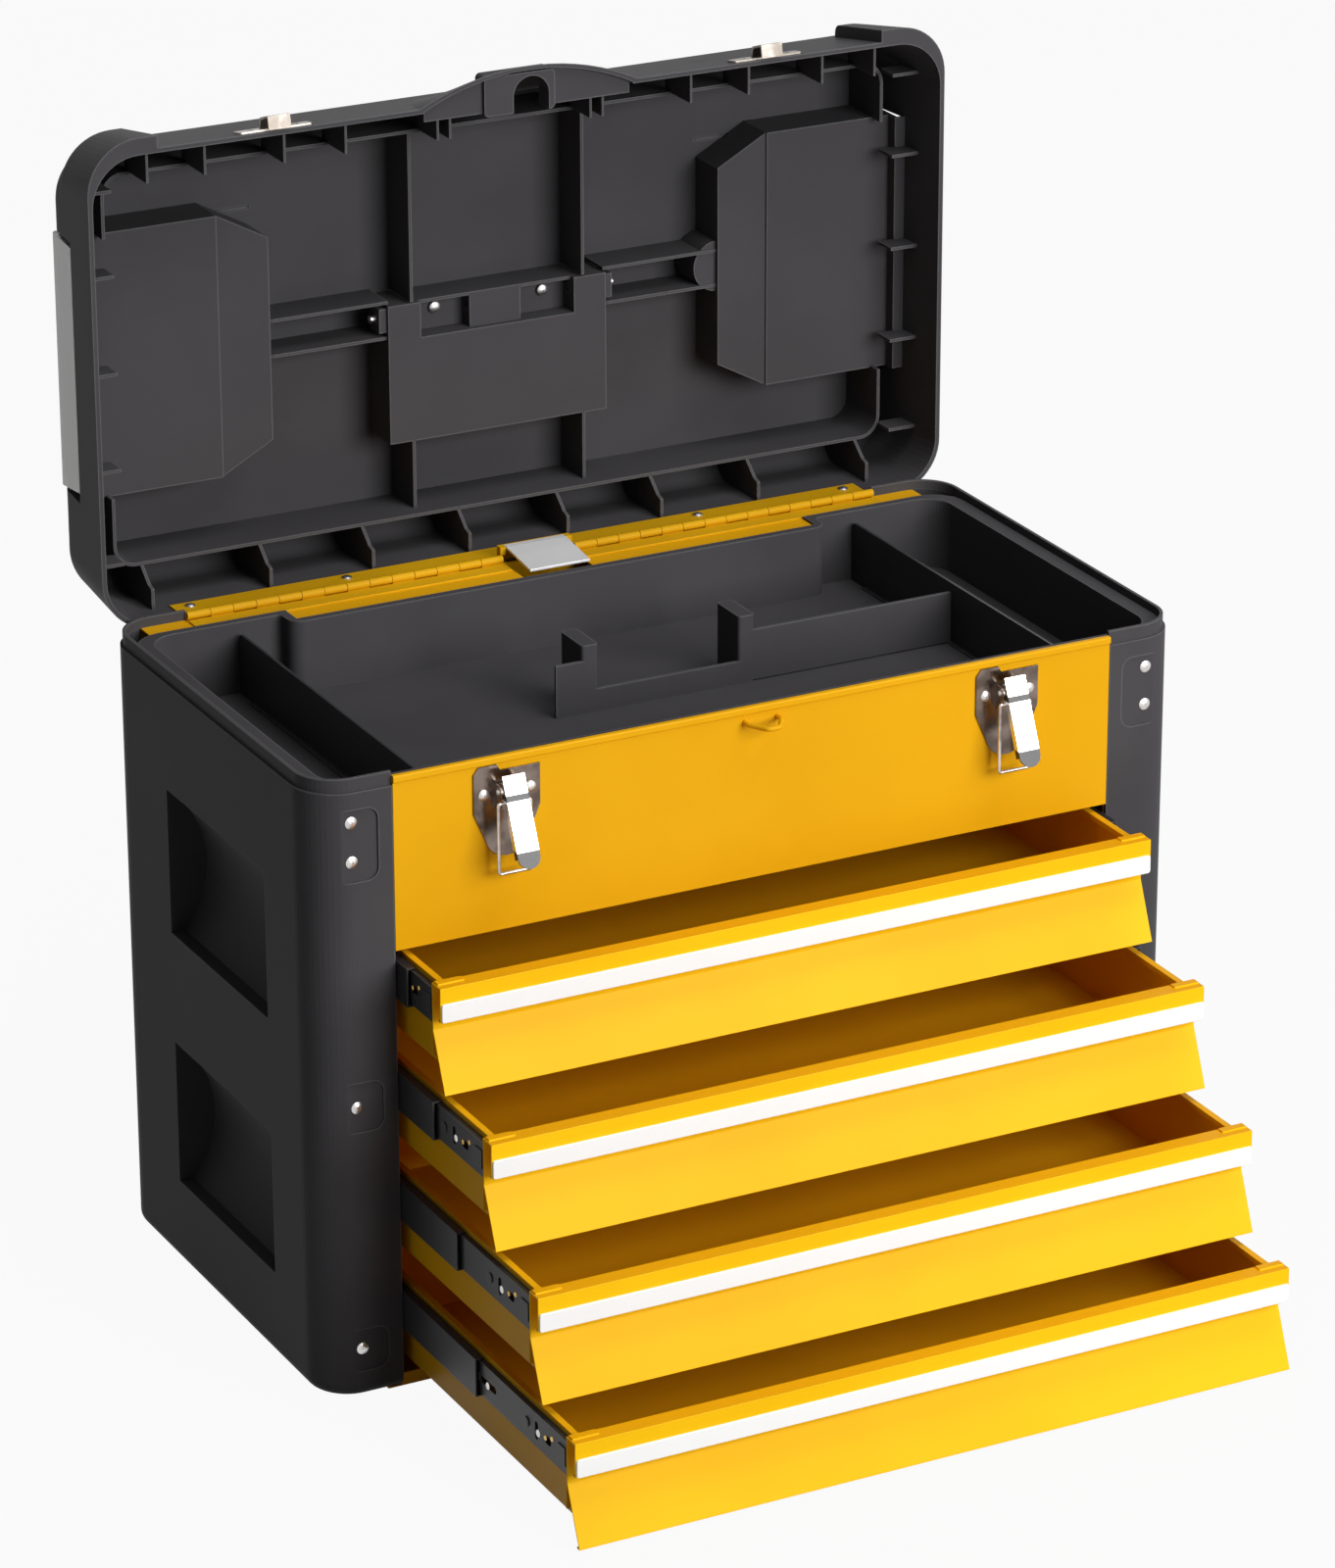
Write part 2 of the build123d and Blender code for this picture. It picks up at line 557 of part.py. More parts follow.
INNER_FACE = DRAWER_BOX_W / 2
INNER_WEB = INNER_FACE + 3.6
MID_WEB = HALF_OPENING - 0.6
MID_H = SLIDE_H + 2 * (SLIDE_GAP + SLIDE_SHEET)
OUTER_H = MID_H + 2 * (SLIDE_GAP + SLIDE_SHEET)
for number, out in enumerate(DRAWER_OUT, start=1):
    face_y = FRONT - out
    zero_z = FIRST_DRAWER_Z - DRAWER_PITCH * (number - 1)
    slide_z = zero_z + SLIDE_Z
    travel = out + CLOSED_INSET

    with BuildPart() as drawer_front:
        with BuildSketch(Plane.YZ.offset(FASCIA_X)):
            with BuildLine():
                Polyline((face_y - LIP + 3, zero_z + PULL_BOTTOM), (face_y - LIP, zero_z + PULL_BOTTOM),
                         (face_y - LIP, zero_z + PULL_TOP), (face_y + RECESS, zero_z + PULL_TOP),
                         (face_y + RECESS, zero_z),
                         (face_y - APRON_OUT + SHEET + 0.3, zero_z - APRON_DROP + SHEET),
                         (face_y - APRON_OUT + APRON_RETURN, zero_z - APRON_DROP + SHEET),
                         (face_y - APRON_OUT + APRON_RETURN, zero_z - APRON_DROP),
                         (face_y - APRON_OUT, zero_z - APRON_DROP),
                         (face_y, zero_z), (face_y, zero_z + PULL_TOP - SHEET),
                         (face_y - LIP + SHEET, zero_z + PULL_TOP - SHEET),
                         (face_y - LIP + SHEET, zero_z + PULL_BOTTOM + SHEET),
                         (face_y - LIP + 3, zero_z + PULL_BOTTOM + SHEET), close=True)
            make_face()
        extrude(amount=FASCIA_W)
        with BuildSketch(Plane.XY.offset(zero_z + PULL_TOP)):
            for side in (-1, 1):
                with Locations((side * (FASCIA_W / 2 - 1), face_y)):
                    Rectangle(TAB_L, 5, align=(Align.MIN if side < 0 else Align.MAX, Align.MAX))
        extrude(amount=TAB_H)
    finish(drawer_front, f"drawer_front_{number}")

    with BuildPart() as trim:
        with BuildSketch(Plane.XZ.offset(-(face_y - LIP))):
            with Locations((0, zero_z + PULL_BOTTOM)):
                RectangleRounded(FASCIA_W - 1, TRIM_H, 1.5, align=(Align.CENTER, Align.MIN))
        extrude(amount=TRIM_T)
        fillet(trim.faces().sort_by(Axis.Y)[0].edges(), 0.5)
    finish(trim, f"drawer_trim_{number}")

    with BuildPart() as drawer_tray:
        box_y = face_y + RECESS
        floor_z = zero_z - DRAWER_FLOOR_DROP
        side_top = zero_z + DRAWER_SIDE_TOP
        with BuildSketch(Plane.XY.offset(floor_z)):
            with Locations((0, box_y)):
                Rectangle(DRAWER_BOX_W, DRAWER_BOX_L, align=(Align.CENTER, Align.MIN))
        extrude(amount=side_top - floor_z)
        with BuildSketch(Plane.XY.offset(floor_z + SHEET)):
            with Locations((0, box_y + SHEET)):
                Rectangle(DRAWER_BOX_W - 2 * SHEET, DRAWER_BOX_L - 2 * SHEET,
                          align=(Align.CENTER, Align.MIN))
        extrude(amount=side_top - floor_z, mode=Mode.SUBTRACT)
        with BuildSketch(Plane.XY.offset(side_top)):
            with Locations((0, box_y)):
                Rectangle(DRAWER_BOX_W, DRAWER_BOX_L, align=(Align.CENTER, Align.MIN))
            with Locations((0, box_y + SHEET)):
                Rectangle(DRAWER_BOX_W - 2 * DRAWER_HEM, DRAWER_BOX_L - SHEET - DRAWER_HEM,
                          align=(Align.CENTER, Align.MIN), mode=Mode.SUBTRACT)
        extrude(amount=-SHEET)
        with BuildSketch(Plane.XY.offset(side_top - SHEET)):
            for side in (-1, 1):
                with Locations((side * (DRAWER_BOX_W / 2 - DRAWER_HEM), box_y + SHEET)):
                    Rectangle(SHEET, DRAWER_BOX_L - 2 * SHEET - DRAWER_HEM,
                              align=(Align.MAX if side < 0 else Align.MIN, Align.MIN))
        extrude(amount=-2.5)
        cheek_w = FASCIA_W / 2 - DRAWER_BOX_W / 2
        with BuildSketch(Plane.XZ.offset(-box_y)):
            for side in (-1, 1):
                with Locations((side * FASCIA_W / 2, zero_z - 16)):
                    Rectangle(cheek_w + 1, 16, align=(Align.MIN if side < 0 else Align.MAX, Align.MIN))
        extrude(amount=-SHEET)
    finish(drawer_tray, f"drawer_tray_{number}")

    with BuildPart() as slide_outer:
        add(slide_channels(MID_WEB - 3, HALF_CARCASS, OUTER_H, FRONT + SLIDE_FROM_FRONT, slide_z))
    finish(slide_outer, f"slide_outer_{number}")

    with BuildPart() as slide_mid:
        mid_y = FRONT + SLIDE_FROM_FRONT - travel / 2
        add(slide_channels(INNER_WEB - 2.4, MID_WEB, MID_H, mid_y, slide_z))
    finish(slide_mid, f"slide_mid_{number}")

    with BuildPart() as slide_inner:
        inner_y = FRONT + SLIDE_FROM_FRONT - travel
        add(slide_channels(INNER_FACE, INNER_WEB, SLIDE_H, inner_y, slide_z))
        for side in (-1, 1):
            web_plane = Plane((side * (INNER_WEB - SLIDE_SHEET), inner_y, slide_z),
                              x_dir=(0, 1, 0), z_dir=(side, 0, 0))
            with BuildSketch(web_plane):
                with Locations((24, 0)):
                    SlotOverall(8, 5)
                with Locations((38, 0)):
                    SlotOverall(11, 4, rotation=90)
                with Locations((98, 0)):
                    SlotOverall(20, 4.5)
                with Locations((LEVER_BACK + 4, 2), (LEVER_BACK + 60, -3)):
                    Circle(2.2)
            extrude(amount=SLIDE_SHEET, mode=Mode.SUBTRACT)
            with BuildSketch(web_plane.offset(SLIDE_SHEET)):
                with Locations((50, 0), (150, 0)):
                    Circle(3)
                with Locations((2, 0)):
                    Rectangle(9, 11, align=(Align.MIN, Align.CENTER))
                with Locations((LEVER_BACK - 8, -1)):
                    SlotOverall(26, 6)
            extrude(amount=0.8)
    finish(slide_inner, f"slide_inner_{number}")

# Latch plates, riveted to the front panel
with BuildPart() as latch_base:
    with BuildSketch(Plane.XZ.offset(-FRONT)):
        with BuildLine():
            half = LATCH_W / 2
            tail = LATCH_TAIL_W / 2
            foot_z = LATCH_BOTTOM + tail * 0.75
            outline = Polyline((-tail, foot_z), (-half, LATCH_SHOULDER), (-half, LATCH_TOP - 4),
                               (-half + 3, LATCH_TOP), (-6, LATCH_TOP), (-4, LATCH_TOP - 3.5),
                               (half, LATCH_TOP - 3.5), (half, LATCH_SHOULDER), (tail, foot_z))
            ThreePointArc((tail, foot_z), (0, LATCH_BOTTOM), (-tail, foot_z))
        make_face()
        with Locations((-LATCH_RIVET_X, LATCH_RIVET_Z), (LATCH_RIVET_X, LATCH_RIVET_Z)):
            Circle(RIVET_R - 0.5 + HOLE_GAP, mode=Mode.SUBTRACT)
    extrude(amount=LATCH_PLATE_T)
    pivot_y = FRONT - LATCH_PIVOT_OUT
    ear_inner = LEVER_HALF_W + 0.3
    for side in (-1, 1):
        with BuildSketch(Plane.YZ.offset(side * ear_inner)):
            with BuildLine():
                Polyline((pivot_y, LATCH_PIVOT_Z - EAR_R),
                         (FRONT - LATCH_PLATE_T, LATCH_PIVOT_Z - EAR_R - 9),
                         (FRONT - LATCH_PLATE_T, LATCH_PIVOT_Z + EAR_R), (pivot_y, LATCH_PIVOT_Z + EAR_R))
                ThreePointArc((pivot_y, LATCH_PIVOT_Z + EAR_R), (pivot_y - EAR_R, LATCH_PIVOT_Z),
                              (pivot_y, LATCH_PIVOT_Z - EAR_R))
            make_face()
            with Locations((pivot_y, LATCH_PIVOT_Z)):
                Circle(LATCH_PIN_R, mode=Mode.SUBTRACT)
        extrude(amount=side * LEVER_SHEET)

latch_rivet = rivet(RIVET_R - 0.5, RIVET_HEAD_R - 0.4, RIVET_HEAD_H, LATCH_PLATE_T + SHEET)
pin_half = LEVER_HALF_W + 0.3 + LEVER_SHEET
lever_sin = sin(radians(LEVER_ANGLE))
lever_cos = cos(radians(LEVER_ANGLE))
pivot = Vector(0, pivot_y, LATCH_PIVOT_Z)
lever_plane = Plane(pivot, x_dir=(1, 0, 0), z_dir=(0, -lever_cos, lever_sin))
bail_y = pivot_y - BAIL_ARM * sin(radians(BAIL_ARM_ANGLE))
bail_z = LATCH_PIVOT_Z - BAIL_ARM * cos(radians(BAIL_ARM_ANGLE))
turn = radians(BAIL_ARM_ANGLE - LEVER_ANGLE)
bail_local = (BAIL_ARM * sin(turn), BAIL_ARM * cos(turn))
LEVER_WEB = 4.0
side_section = Plane(pivot, x_dir=(0, -lever_cos, lever_sin), z_dir=(1, 0, 0))
with BuildPart() as lever:
    with BuildSketch(lever_plane.offset(LEVER_WEB)):
        with BuildLine():
            tip_z = -LEVER_L + LEVER_HALF_W
            Polyline((-LEVER_HALF_W, tip_z), (-LEVER_HALF_W, 8), (LEVER_HALF_W, 8), (LEVER_HALF_W, tip_z))
            ThreePointArc((LEVER_HALF_W, tip_z), (0, -LEVER_L), (-LEVER_HALF_W, tip_z))
        make_face()
    extrude(amount=LEVER_SHEET)
    for side in (-1, 1):
        with BuildSketch(side_section.offset(side * LEVER_HALF_W)):
            with Locations((LEVER_WEB + LEVER_SHEET / 2, -5)):
                Rectangle(LEVER_WEB + 3, 15, align=(Align.MAX, Align.MIN))
            with Locations((LEVER_WEB + LEVER_SHEET / 2, -5)):
                Rectangle(4, 44, align=(Align.MAX, Align.MIN))
            with Locations((0, 0)):
                Circle(LATCH_PIN_R + PIN_GAP, mode=Mode.SUBTRACT)
            with Locations(bail_local):
                Circle(BAIL_WIRE_R + PIN_GAP, mode=Mode.SUBTRACT)
        extrude(amount=-side * LEVER_SHEET)

with BuildPart() as bail:
    bail_in = LEVER_HALF_W - LEVER_SHEET + 0.2
    with BuildLine():
        FilletPolyline((-bail_in, bail_y, bail_z), (-BAIL_HALF_W, bail_y, bail_z),
                       (-BAIL_HALF_W, bail_y, bail_z - BAIL_L), (BAIL_HALF_W, bail_y, bail_z - BAIL_L),
                       (BAIL_HALF_W, bail_y, bail_z), (bail_in, bail_y, bail_z), radius=1.4)
    with BuildSketch(Plane((-bail_in, bail_y, bail_z), z_dir=(-1, 0, 0))):
        Circle(BAIL_WIRE_R)
    sweep()

with BuildPart() as pin:
    with BuildSketch(Plane.YZ.offset(-pin_half - 0.8)):
        with Locations((pivot_y, LATCH_PIVOT_Z)):
            Circle(LATCH_PIN_R)
    extrude(amount=2 * pin_half + 1.6)

for side, name in ((-1, "left"), (1, "right")):
    place = Location((side * LATCH_X, 0, 0))
    with BuildPart() as base_copy:
        with Locations(place):
            add(latch_base.part)
    finish(base_copy, f"latch_base_{name}")
    with BuildPart() as lever_copy:
        with Locations(place):
            add(lever.part)
    finish(lever_copy, f"latch_lever_{name}")
    with BuildPart() as bail_copy:
        with Locations(place):
            add(bail.part)
    finish(bail_copy, f"latch_bail_{name}")

with BuildPart() as latch_pins:
    with Locations((-LATCH_X, 0), (LATCH_X, 0)):
        add(pin.part)
    for side in (-1, 1):
        for rivet_dx in (-LATCH_RIVET_X, LATCH_RIVET_X):
            seat = Plane((side * LATCH_X + rivet_dx, FRONT - LATCH_PLATE_T, LATCH_RIVET_Z),
                         x_dir=(1, 0, 0), z_dir=(0, -1, 0))
            with Locations(seat):
                add(latch_rivet)
finish(latch_pins, "latch_pins")

# Lid shell: a drafted moulding, hollow towards the body, with a padlock hood and corner bumpers
def lid_plane(sink):
    return Plane.XZ.offset(-(LID_RIM_Y + sink))


def lid_block(inset, raise_top, edge_r, corner_r, depth):
    """The lid's drafted outer form, drawn in by inset, from the rim to the given depth."""
    share = depth / LID_T
    near_w = LID_W - 2 * inset
    near_low = LID_LOW + inset
    near_top = LID_TOP + raise_top - inset
    far_w = near_w - 2 * LID_SIDE_DRAFT * share
    far_low = near_low
    far_top = near_top - LID_FRONT_DRAFT * share
    with BuildPart() as block:
        with BuildSketch(lid_plane(0)):
            with Locations((0, (near_low + near_top) / 2)):
                RectangleRounded(near_w, near_top - near_low, corner_r)
        with BuildSketch(lid_plane(depth)):
            with Locations((0, (far_low + far_top) / 2)):
                RectangleRounded(far_w, far_top - far_low, corner_r)
        loft()
        if edge_r:
            fillet(block.faces().sort_by(Axis.Y)[-1].edges(), edge_r)
    return block.part


TUB_OUTER_X = WIDTH / 2 - 10.0
TUB_SPLIT_SINK = 38.5
COVER_T = 1.8
SEAT_GAP = 0.3
SEAT_EDGE = 1.0
COVER_GAP = 0.6
COVER_AXIS_SINK = LID_T - 4.0
COVER_AXIS_Z = TUB_TOP - TUB_WALL - 5.0
COVER_BARREL_R = 2.5
COVER_STUB_R = 1.5

lid_outer = lid_block(0, 0, LID_EDGE_R, LID_CORNER_R, LID_T)
lid_core = lid_block(LID_WALL / 2, 0, LID_EDGE_R - LID_WALL / 2, LID_CORNER_R - LID_WALL / 2,
                     LID_T - LID_WALL / 2)
lid_inner = lid_block(LID_WALL, 0, LID_EDGE_R - LID_WALL, LID_CORNER_R - LID_WALL, LID_T - LID_WALL)
bumper_outer = lid_block(0, BUMPER_OUT, 6, LID_CORNER_R, BUMPER_DEPTH)



def bumper_pair():
    """The two thicker front corners of the lid."""
    with BuildPart() as bumpers:
        add(bumper_outer)
        with BuildSketch(lid_plane(-1)):
            with Locations((0, LID_TOP - 40)):
                Rectangle(LID_W * 2, LID_W, align=(Align.CENTER, Align.MAX))
            with Locations((0, LID_TOP)):
                Rectangle(2 * BUMPER_X, LID_W)
        extrude(amount=-LID_T * 2, mode=Mode.SUBTRACT)
    return bumpers.part


def hood_block(near, far, skirt):
    """An arched block on the lid's front wall between two sections: sink, height and half width."""
    with BuildPart() as hood:
        for sink, high, half_w in (near, far):
            top_z = LID_TOP - LID_FRONT_DRAFT * sink / LID_T
            with BuildSketch(lid_plane(sink)):
                with BuildLine():
                    ThreePointArc((-half_w, top_z - skirt), (0, top_z + high), (half_w, top_z - skirt))
                    Polyline((half_w, top_z - skirt), (half_w, top_z - 12), (-half_w, top_z - 12),
                             (-half_w, top_z - skirt))
                make_face()
        loft()
    return hood.part


# Ribs on the side and front walls, trimmed to the drafted form within its wall
with BuildPart() as wall_ribs:
    with BuildSketch(lid_plane(SIDE_RIB_SINK)):
        for side in (-1, 1):
            for rib_z in SIDE_RIBS_Z:
                with Locations((side * (FRAME_HALF_W - 1), rib_z)):
                    Rectangle(LID_W / 2 - FRAME_HALF_W + 0.5, RIB_T,
                              align=(Align.MIN if side > 0 else Align.MAX, Align.CENTER))
    extrude(amount=-(TUB_SPLIT_SINK - 1 - SIDE_RIB_SINK))
    with BuildSketch(lid_plane(FRONT_RIB_SINK)):
        for side in (-1, 1):
            for rib_x in FRONT_RIBS_X:
                with Locations((side * rib_x, FRAME_TOP - 1)):
                    Rectangle(RIB_T - 0.5, LID_TOP - FRAME_TOP - 3, align=(Align.CENTER, Align.MIN))
    extrude(amount=-(FRAME_SINK + 8 - FRONT_RIB_SINK))
    add(lid_core, mode=Mode.INTERSECT)


with BuildPart() as lid:
    add(lid_outer)
    add(bumper_pair())
    add(hood_block((0, HOOD_H, HOOD_HALF_W), (HOOD_DEPTH, 1, HOOD_HALF_W - 8), 2))
    add(lid_inner, mode=Mode.SUBTRACT)
    add(hood_block((HOOD_SUNK + LID_WALL, HOOD_H - LID_WALL - 1, HOOD_HALF_W - LID_WALL - 2),
                   (HOOD_DEPTH - 6, 0, HOOD_HALF_W - 14), 4), mode=Mode.SUBTRACT)
    # Sunk plate under the hood's edge, and the block with the slot that the padlock passes through
    add(hood_block((-1, HOOD_H - 2.5, HOOD_HALF_W - 7), (HOOD_SUNK, HOOD_H - 2.6, HOOD_HALF_W - 7), 2),
        mode=Mode.SUBTRACT)
    with BuildSketch(lid_plane(HOOD_SUNK)):
        with Locations((0, LID_TOP - 9)):
            Rectangle(2 * HOOD_HALF_W - 16, 9, align=(Align.CENTER, Align.MIN))
    extrude(amount=-LID_WALL)
    with BuildSketch(lid_plane(0.6)):
        with Locations((SLOT_BLOCK_X, LID_TOP - 11)):
            slot_block = Rectangle(SLOT_BLOCK_W, 24, align=(Align.CENTER, Align.MIN))
            fillet(slot_block.vertices(), 3)
    extrude(amount=-13.4)
    with BuildSketch(lid_plane(13)):
        with Locations((0, LID_TOP)):
            Rectangle(SLOT_BLOCK_W * 2, 30, align=(Align.CENTER, Align.MIN))
    extrude(amount=-4, mode=Mode.SUBTRACT)
    with BuildSketch(lid_plane(-1)):
        with Locations((1.5, LID_TOP - 12)):
            Rectangle(2 * SLOT_HALF_W, 11, align=(Align.CENTER, Align.MIN))
        with Locations((1.5, LID_TOP - 1)):
            Circle(SLOT_HALF_W)
    extrude(amount=-16, mode=Mode.SUBTRACT)
    # Organiser pockets open through the back and the side of the lid
    with BuildSketch(lid_plane(TUB_SPLIT_SINK)):
        for side in (-1, 1):
            low_x, high_x = sorted((side * (TUB_OUTER_X - 4), side * LID_W))
            with Locations((low_x, TUB_LOW + SEAT_EDGE)):
                Rectangle(high_x - low_x, TUB_TOP - TUB_LOW - 2 * SEAT_EDGE, align=(Align.MIN, Align.MIN))
    extrude(amount=-LID_T, mode=Mode.SUBTRACT)
    # Web opening over the handle well
    with BuildSketch(lid_plane(LID_T - LID_WALL - 1)):
        with Locations((0, WELL_LOW + WELL_FLOOR)):
            Rectangle(2 * (WELL_HALF_W - WELL_FLOOR), EAR_TOP - WELL_LOW - 2 * WELL_FLOOR,
                      align=(Align.CENTER, Align.MIN))
    extrude(amount=-2 * LID_WALL, mode=Mode.SUBTRACT)
    # Inner frame wall and cross ribs, cut where the pockets pass
    frame_h = FRAME_TOP - FRAME_LOW
    with BuildSketch(lid_plane(FRAME_SINK)):
        with Locations((0, (FRAME_LOW + FRAME_TOP) / 2)):
            RectangleRounded(2 * FRAME_HALF_W, frame_h, FRAME_R)
            RectangleRounded(2 * FRAME_HALF_W - 2 * RIB_T, frame_h - 2 * RIB_T, FRAME_R - RIB_T,
                             mode=Mode.SUBTRACT)
        for side in (-1, 1):
            with Locations((side * LID_W / 2, (TUB_LOW + TUB_TOP) / 2)):
                Rectangle(LID_W / 2, TUB_TOP - TUB_LOW - 2, mode=Mode.SUBTRACT)
    extrude(amount=-(LID_T - LID_WALL - FRAME_SINK))
    with BuildSketch(lid_plane(TUB_SINK)):
        for side in (-1, 1):
            with Locations((side * CROSS_RIB_X, FRAME_LOW + RIB_T / 2)):
                Rectangle(RIB_T, WELL_LOW - FRAME_LOW, align=(Align.CENTER, Align.MIN))
            with Locations((side * CROSS_RIB_X, FRAME_TOP - RIB_T / 2)):
                Rectangle(RIB_T, FRAME_TOP - EAR_TOP - 2, align=(Align.CENTER, Align.MAX))
    extrude(amount=-(LID_T - LID_WALL - TUB_SINK))
    # Pocket walls and floors, with a chamfered inner end
    for side in (-1, 1):
        with BuildSketch(lid_plane(TUB_SINK)):
            with BuildLine():
                Polyline((side * TUB_OUTER_X, TUB_LOW), (side * (TUB_INNER_X + TUB_CHAMFER[0]), TUB_LOW),
                         (side * TUB_INNER_X, TUB_LOW + TUB_CHAMFER[1]),
                         (side * TUB_INNER_X, TUB_TOP - TUB_CHAMFER[1]),
                         (side * (TUB_INNER_X + TUB_CHAMFER[0]), TUB_TOP), (side * TUB_OUTER_X, TUB_TOP),
                         close=True)
            make_face()
        extrude(amount=-(LID_T - LID_WALL - TUB_SINK))
        with BuildSketch(lid_plane(TUB_SPLIT_SINK - 2)):
            with Locations((side * (TUB_OUTER_X - 2), (TUB_LOW + TUB_TOP) / 2)):
                Rectangle(8.5, TUB_TOP - TUB_LOW, align=(Align.MIN if side > 0 else Align.MAX, Align.CENTER))
        extrude(amount=-2)
        with BuildSketch(lid_plane(TUB_SPLIT_SINK - 2)):
            with Locations((side * (TUB_OUTER_X - TUB_WALL), (TUB_LOW + TUB_TOP) / 2)):
                Rectangle(TUB_WALL, TUB_TOP - TUB_LOW,
                          align=(Align.MIN if side > 0 else Align.MAX, Align.CENTER))
        extrude(amount=-(LID_T - COVER_T - 1.5 - TUB_SPLIT_SINK))
        with BuildSketch(lid_plane(TUB_SINK + TUB_WALL)):
            with BuildLine():
                Polyline((side * (TUB_OUTER_X - TUB_WALL), TUB_LOW + TUB_WALL),
                         (side * (TUB_INNER_X + TUB_CHAMFER[0] + 1), TUB_LOW + TUB_WALL),
                         (side * (TUB_INNER_X + TUB_WALL), TUB_LOW + TUB_CHAMFER[1] + 1),
                         (side * (TUB_INNER_X + TUB_WALL), TUB_TOP - TUB_CHAMFER[1] - 1),
                         (side * (TUB_INNER_X + TUB_CHAMFER[0] + 1), TUB_TOP - TUB_WALL),
                         (side * (TUB_OUTER_X - TUB_WALL), TUB_TOP - TUB_WALL), close=True)
            make_face()
        extrude(amount=-LID_T, mode=Mode.SUBTRACT)
        with BuildSketch(lid_plane(LID_T - COVER_T - SEAT_GAP)):
            with Locations((side * (TUB_INNER_X + SEAT_EDGE), (TUB_LOW + TUB_TOP) / 2)):
                Rectangle(LID_W, TUB_TOP - TUB_LOW - 2 * SEAT_EDGE,
                          align=(Align.MIN if side > 0 else Align.MAX, Align.CENTER))
        extrude(amount=-LID_T, mode=Mode.SUBTRACT)
        with BuildSketch(lid_plane(LID_T - COVER_T - 3.6)):
            with Locations((side * (TUB_OUTER_X - TUB_WALL - 0.5), (TUB_LOW + TUB_TOP) / 2)):
                Rectangle(LID_W, TUB_TOP - TUB_LOW - 2 * SEAT_EDGE,
                          align=(Align.MIN if side > 0 else Align.MAX, Align.CENTER))
        extrude(amount=-LID_T, mode=Mode.SUBTRACT)
        with BuildSketch(lid_plane(COVER_AXIS_SINK - 4.4)):
            with Locations((side * (TUB_OUTER_X - TUB_WALL - 0.5), COVER_AXIS_Z - 1.5)):
                Rectangle(TUB_WALL + 1, TUB_TOP - SEAT_EDGE - COVER_AXIS_Z + 1.5,
                          align=(Align.MIN if side > 0 else Align.MAX, Align.MIN))
        extrude(amount=-LID_T, mode=Mode.SUBTRACT)
        # Raised panel on the pocket's face, which leaves a step at the chamfered end
        with BuildSketch(lid_plane(TUB_SINK)):
            with Locations((side * (TUB_INNER_X + TUB_CHAMFER[0]), (TUB_LOW + TUB_TOP) / 2)):
                Rectangle(TUB_OUTER_X - TUB_INNER_X - TUB_CHAMFER[0], TUB_TOP - TUB_LOW,
                          align=(Align.MIN if side > 0 else Align.MAX, Align.CENTER))
        extrude(amount=TUB_STEP)
        # Sockets for the cover's pivots
        with BuildSketch(Plane.YZ.offset(side * (TUB_INNER_X - 1))):
            with Locations((LID_RIM_Y + COVER_AXIS_SINK, COVER_AXIS_Z)):
                Circle(COVER_STUB_R + PIN_GAP)
        extrude(amount=side * (TUB_OUTER_X - TUB_INNER_X + 1.5), mode=Mode.SUBTRACT)
    # Handle well with two ears, hollow towards the outside
    well_depth = LID_T - LID_WALL - TUB_SINK + 1
    with BuildSketch(lid_plane(TUB_SINK)):
        with Locations((0, WELL_LOW)):
            Rectangle(2 * WELL_HALF_W, WELL_TOP - WELL_LOW, align=(Align.CENTER, Align.MIN))
        for side in (-1, 1):
            low_x = EAR_INNER_X if side > 0 else -WELL_HALF_W
            with Locations((low_x, WELL_TOP)):
                Rectangle(WELL_HALF_W - EAR_INNER_X, EAR_TOP - WELL_TOP, align=(Align.MIN, Align.MIN))
        with Locations((0, WELL_TOP)):
            Rectangle(2 * EAR_INNER_X, EAR_TOP - WELL_TOP, align=(Align.CENTER, Align.MIN),
                      mode=Mode.SUBTRACT)
    extrude(amount=-well_depth)
    with BuildSketch(lid_plane(TUB_SINK + 14)):
        with Locations((0, WELL_TOP - 1)):
            Rectangle(2 * EAR_INNER_X + 2, EAR_TOP - WELL_TOP + 1, align=(Align.CENTER, Align.MIN))
    extrude(amount=-(well_depth - 14))
    with BuildSketch(lid_plane(TUB_SINK + WELL_FLOOR)):
        with Locations((0, WELL_LOW + WELL_FLOOR)):
            Rectangle(2 * (WELL_HALF_W - WELL_FLOOR), WELL_TOP - WELL_LOW - 2 * WELL_FLOOR,
                      align=(Align.CENTER, Align.MIN))
        for side in (-1, 1):
            low_x = EAR_INNER_X + WELL_FLOOR if side > 0 else -WELL_HALF_W + WELL_FLOOR
            with Locations((low_x, WELL_TOP - WELL_FLOOR - 1)):
                Rectangle(WELL_HALF_W - EAR_INNER_X - 2 * WELL_FLOOR, EAR_TOP - WELL_TOP + 1,
                          align=(Align.MIN, Align.MIN))
    extrude(amount=-LID_T, mode=Mode.SUBTRACT)
    with BuildSketch(lid_plane(TUB_SINK + 14 + WELL_FLOOR)):
        with Locations((0, WELL_LOW + WELL_FLOOR)):
            Rectangle(2 * (WELL_HALF_W - WELL_FLOOR), EAR_TOP - WELL_LOW - 2 * WELL_FLOOR,
                      align=(Align.CENTER, Align.MIN))
    extrude(amount=-LID_T, mode=Mode.SUBTRACT)
    with BuildSketch(lid_plane(TUB_SINK + 4)):
        with Locations((0, WELL_TOP - WELL_FLOOR)):
            Rectangle(2 * BRACKET_HALF_W, EAR_TOP - WELL_TOP + WELL_FLOOR, align=(Align.CENTER, Align.MIN))
        with Locations((0, EAR_TOP)):
            Rectangle(2 * EAR_INNER_X + 2, RIB_T, align=(Align.CENTER, Align.MAX))
    extrude(amount=-11)
    with BuildSketch(lid_plane(TUB_SINK + 14 - SCREW_BOSS)):
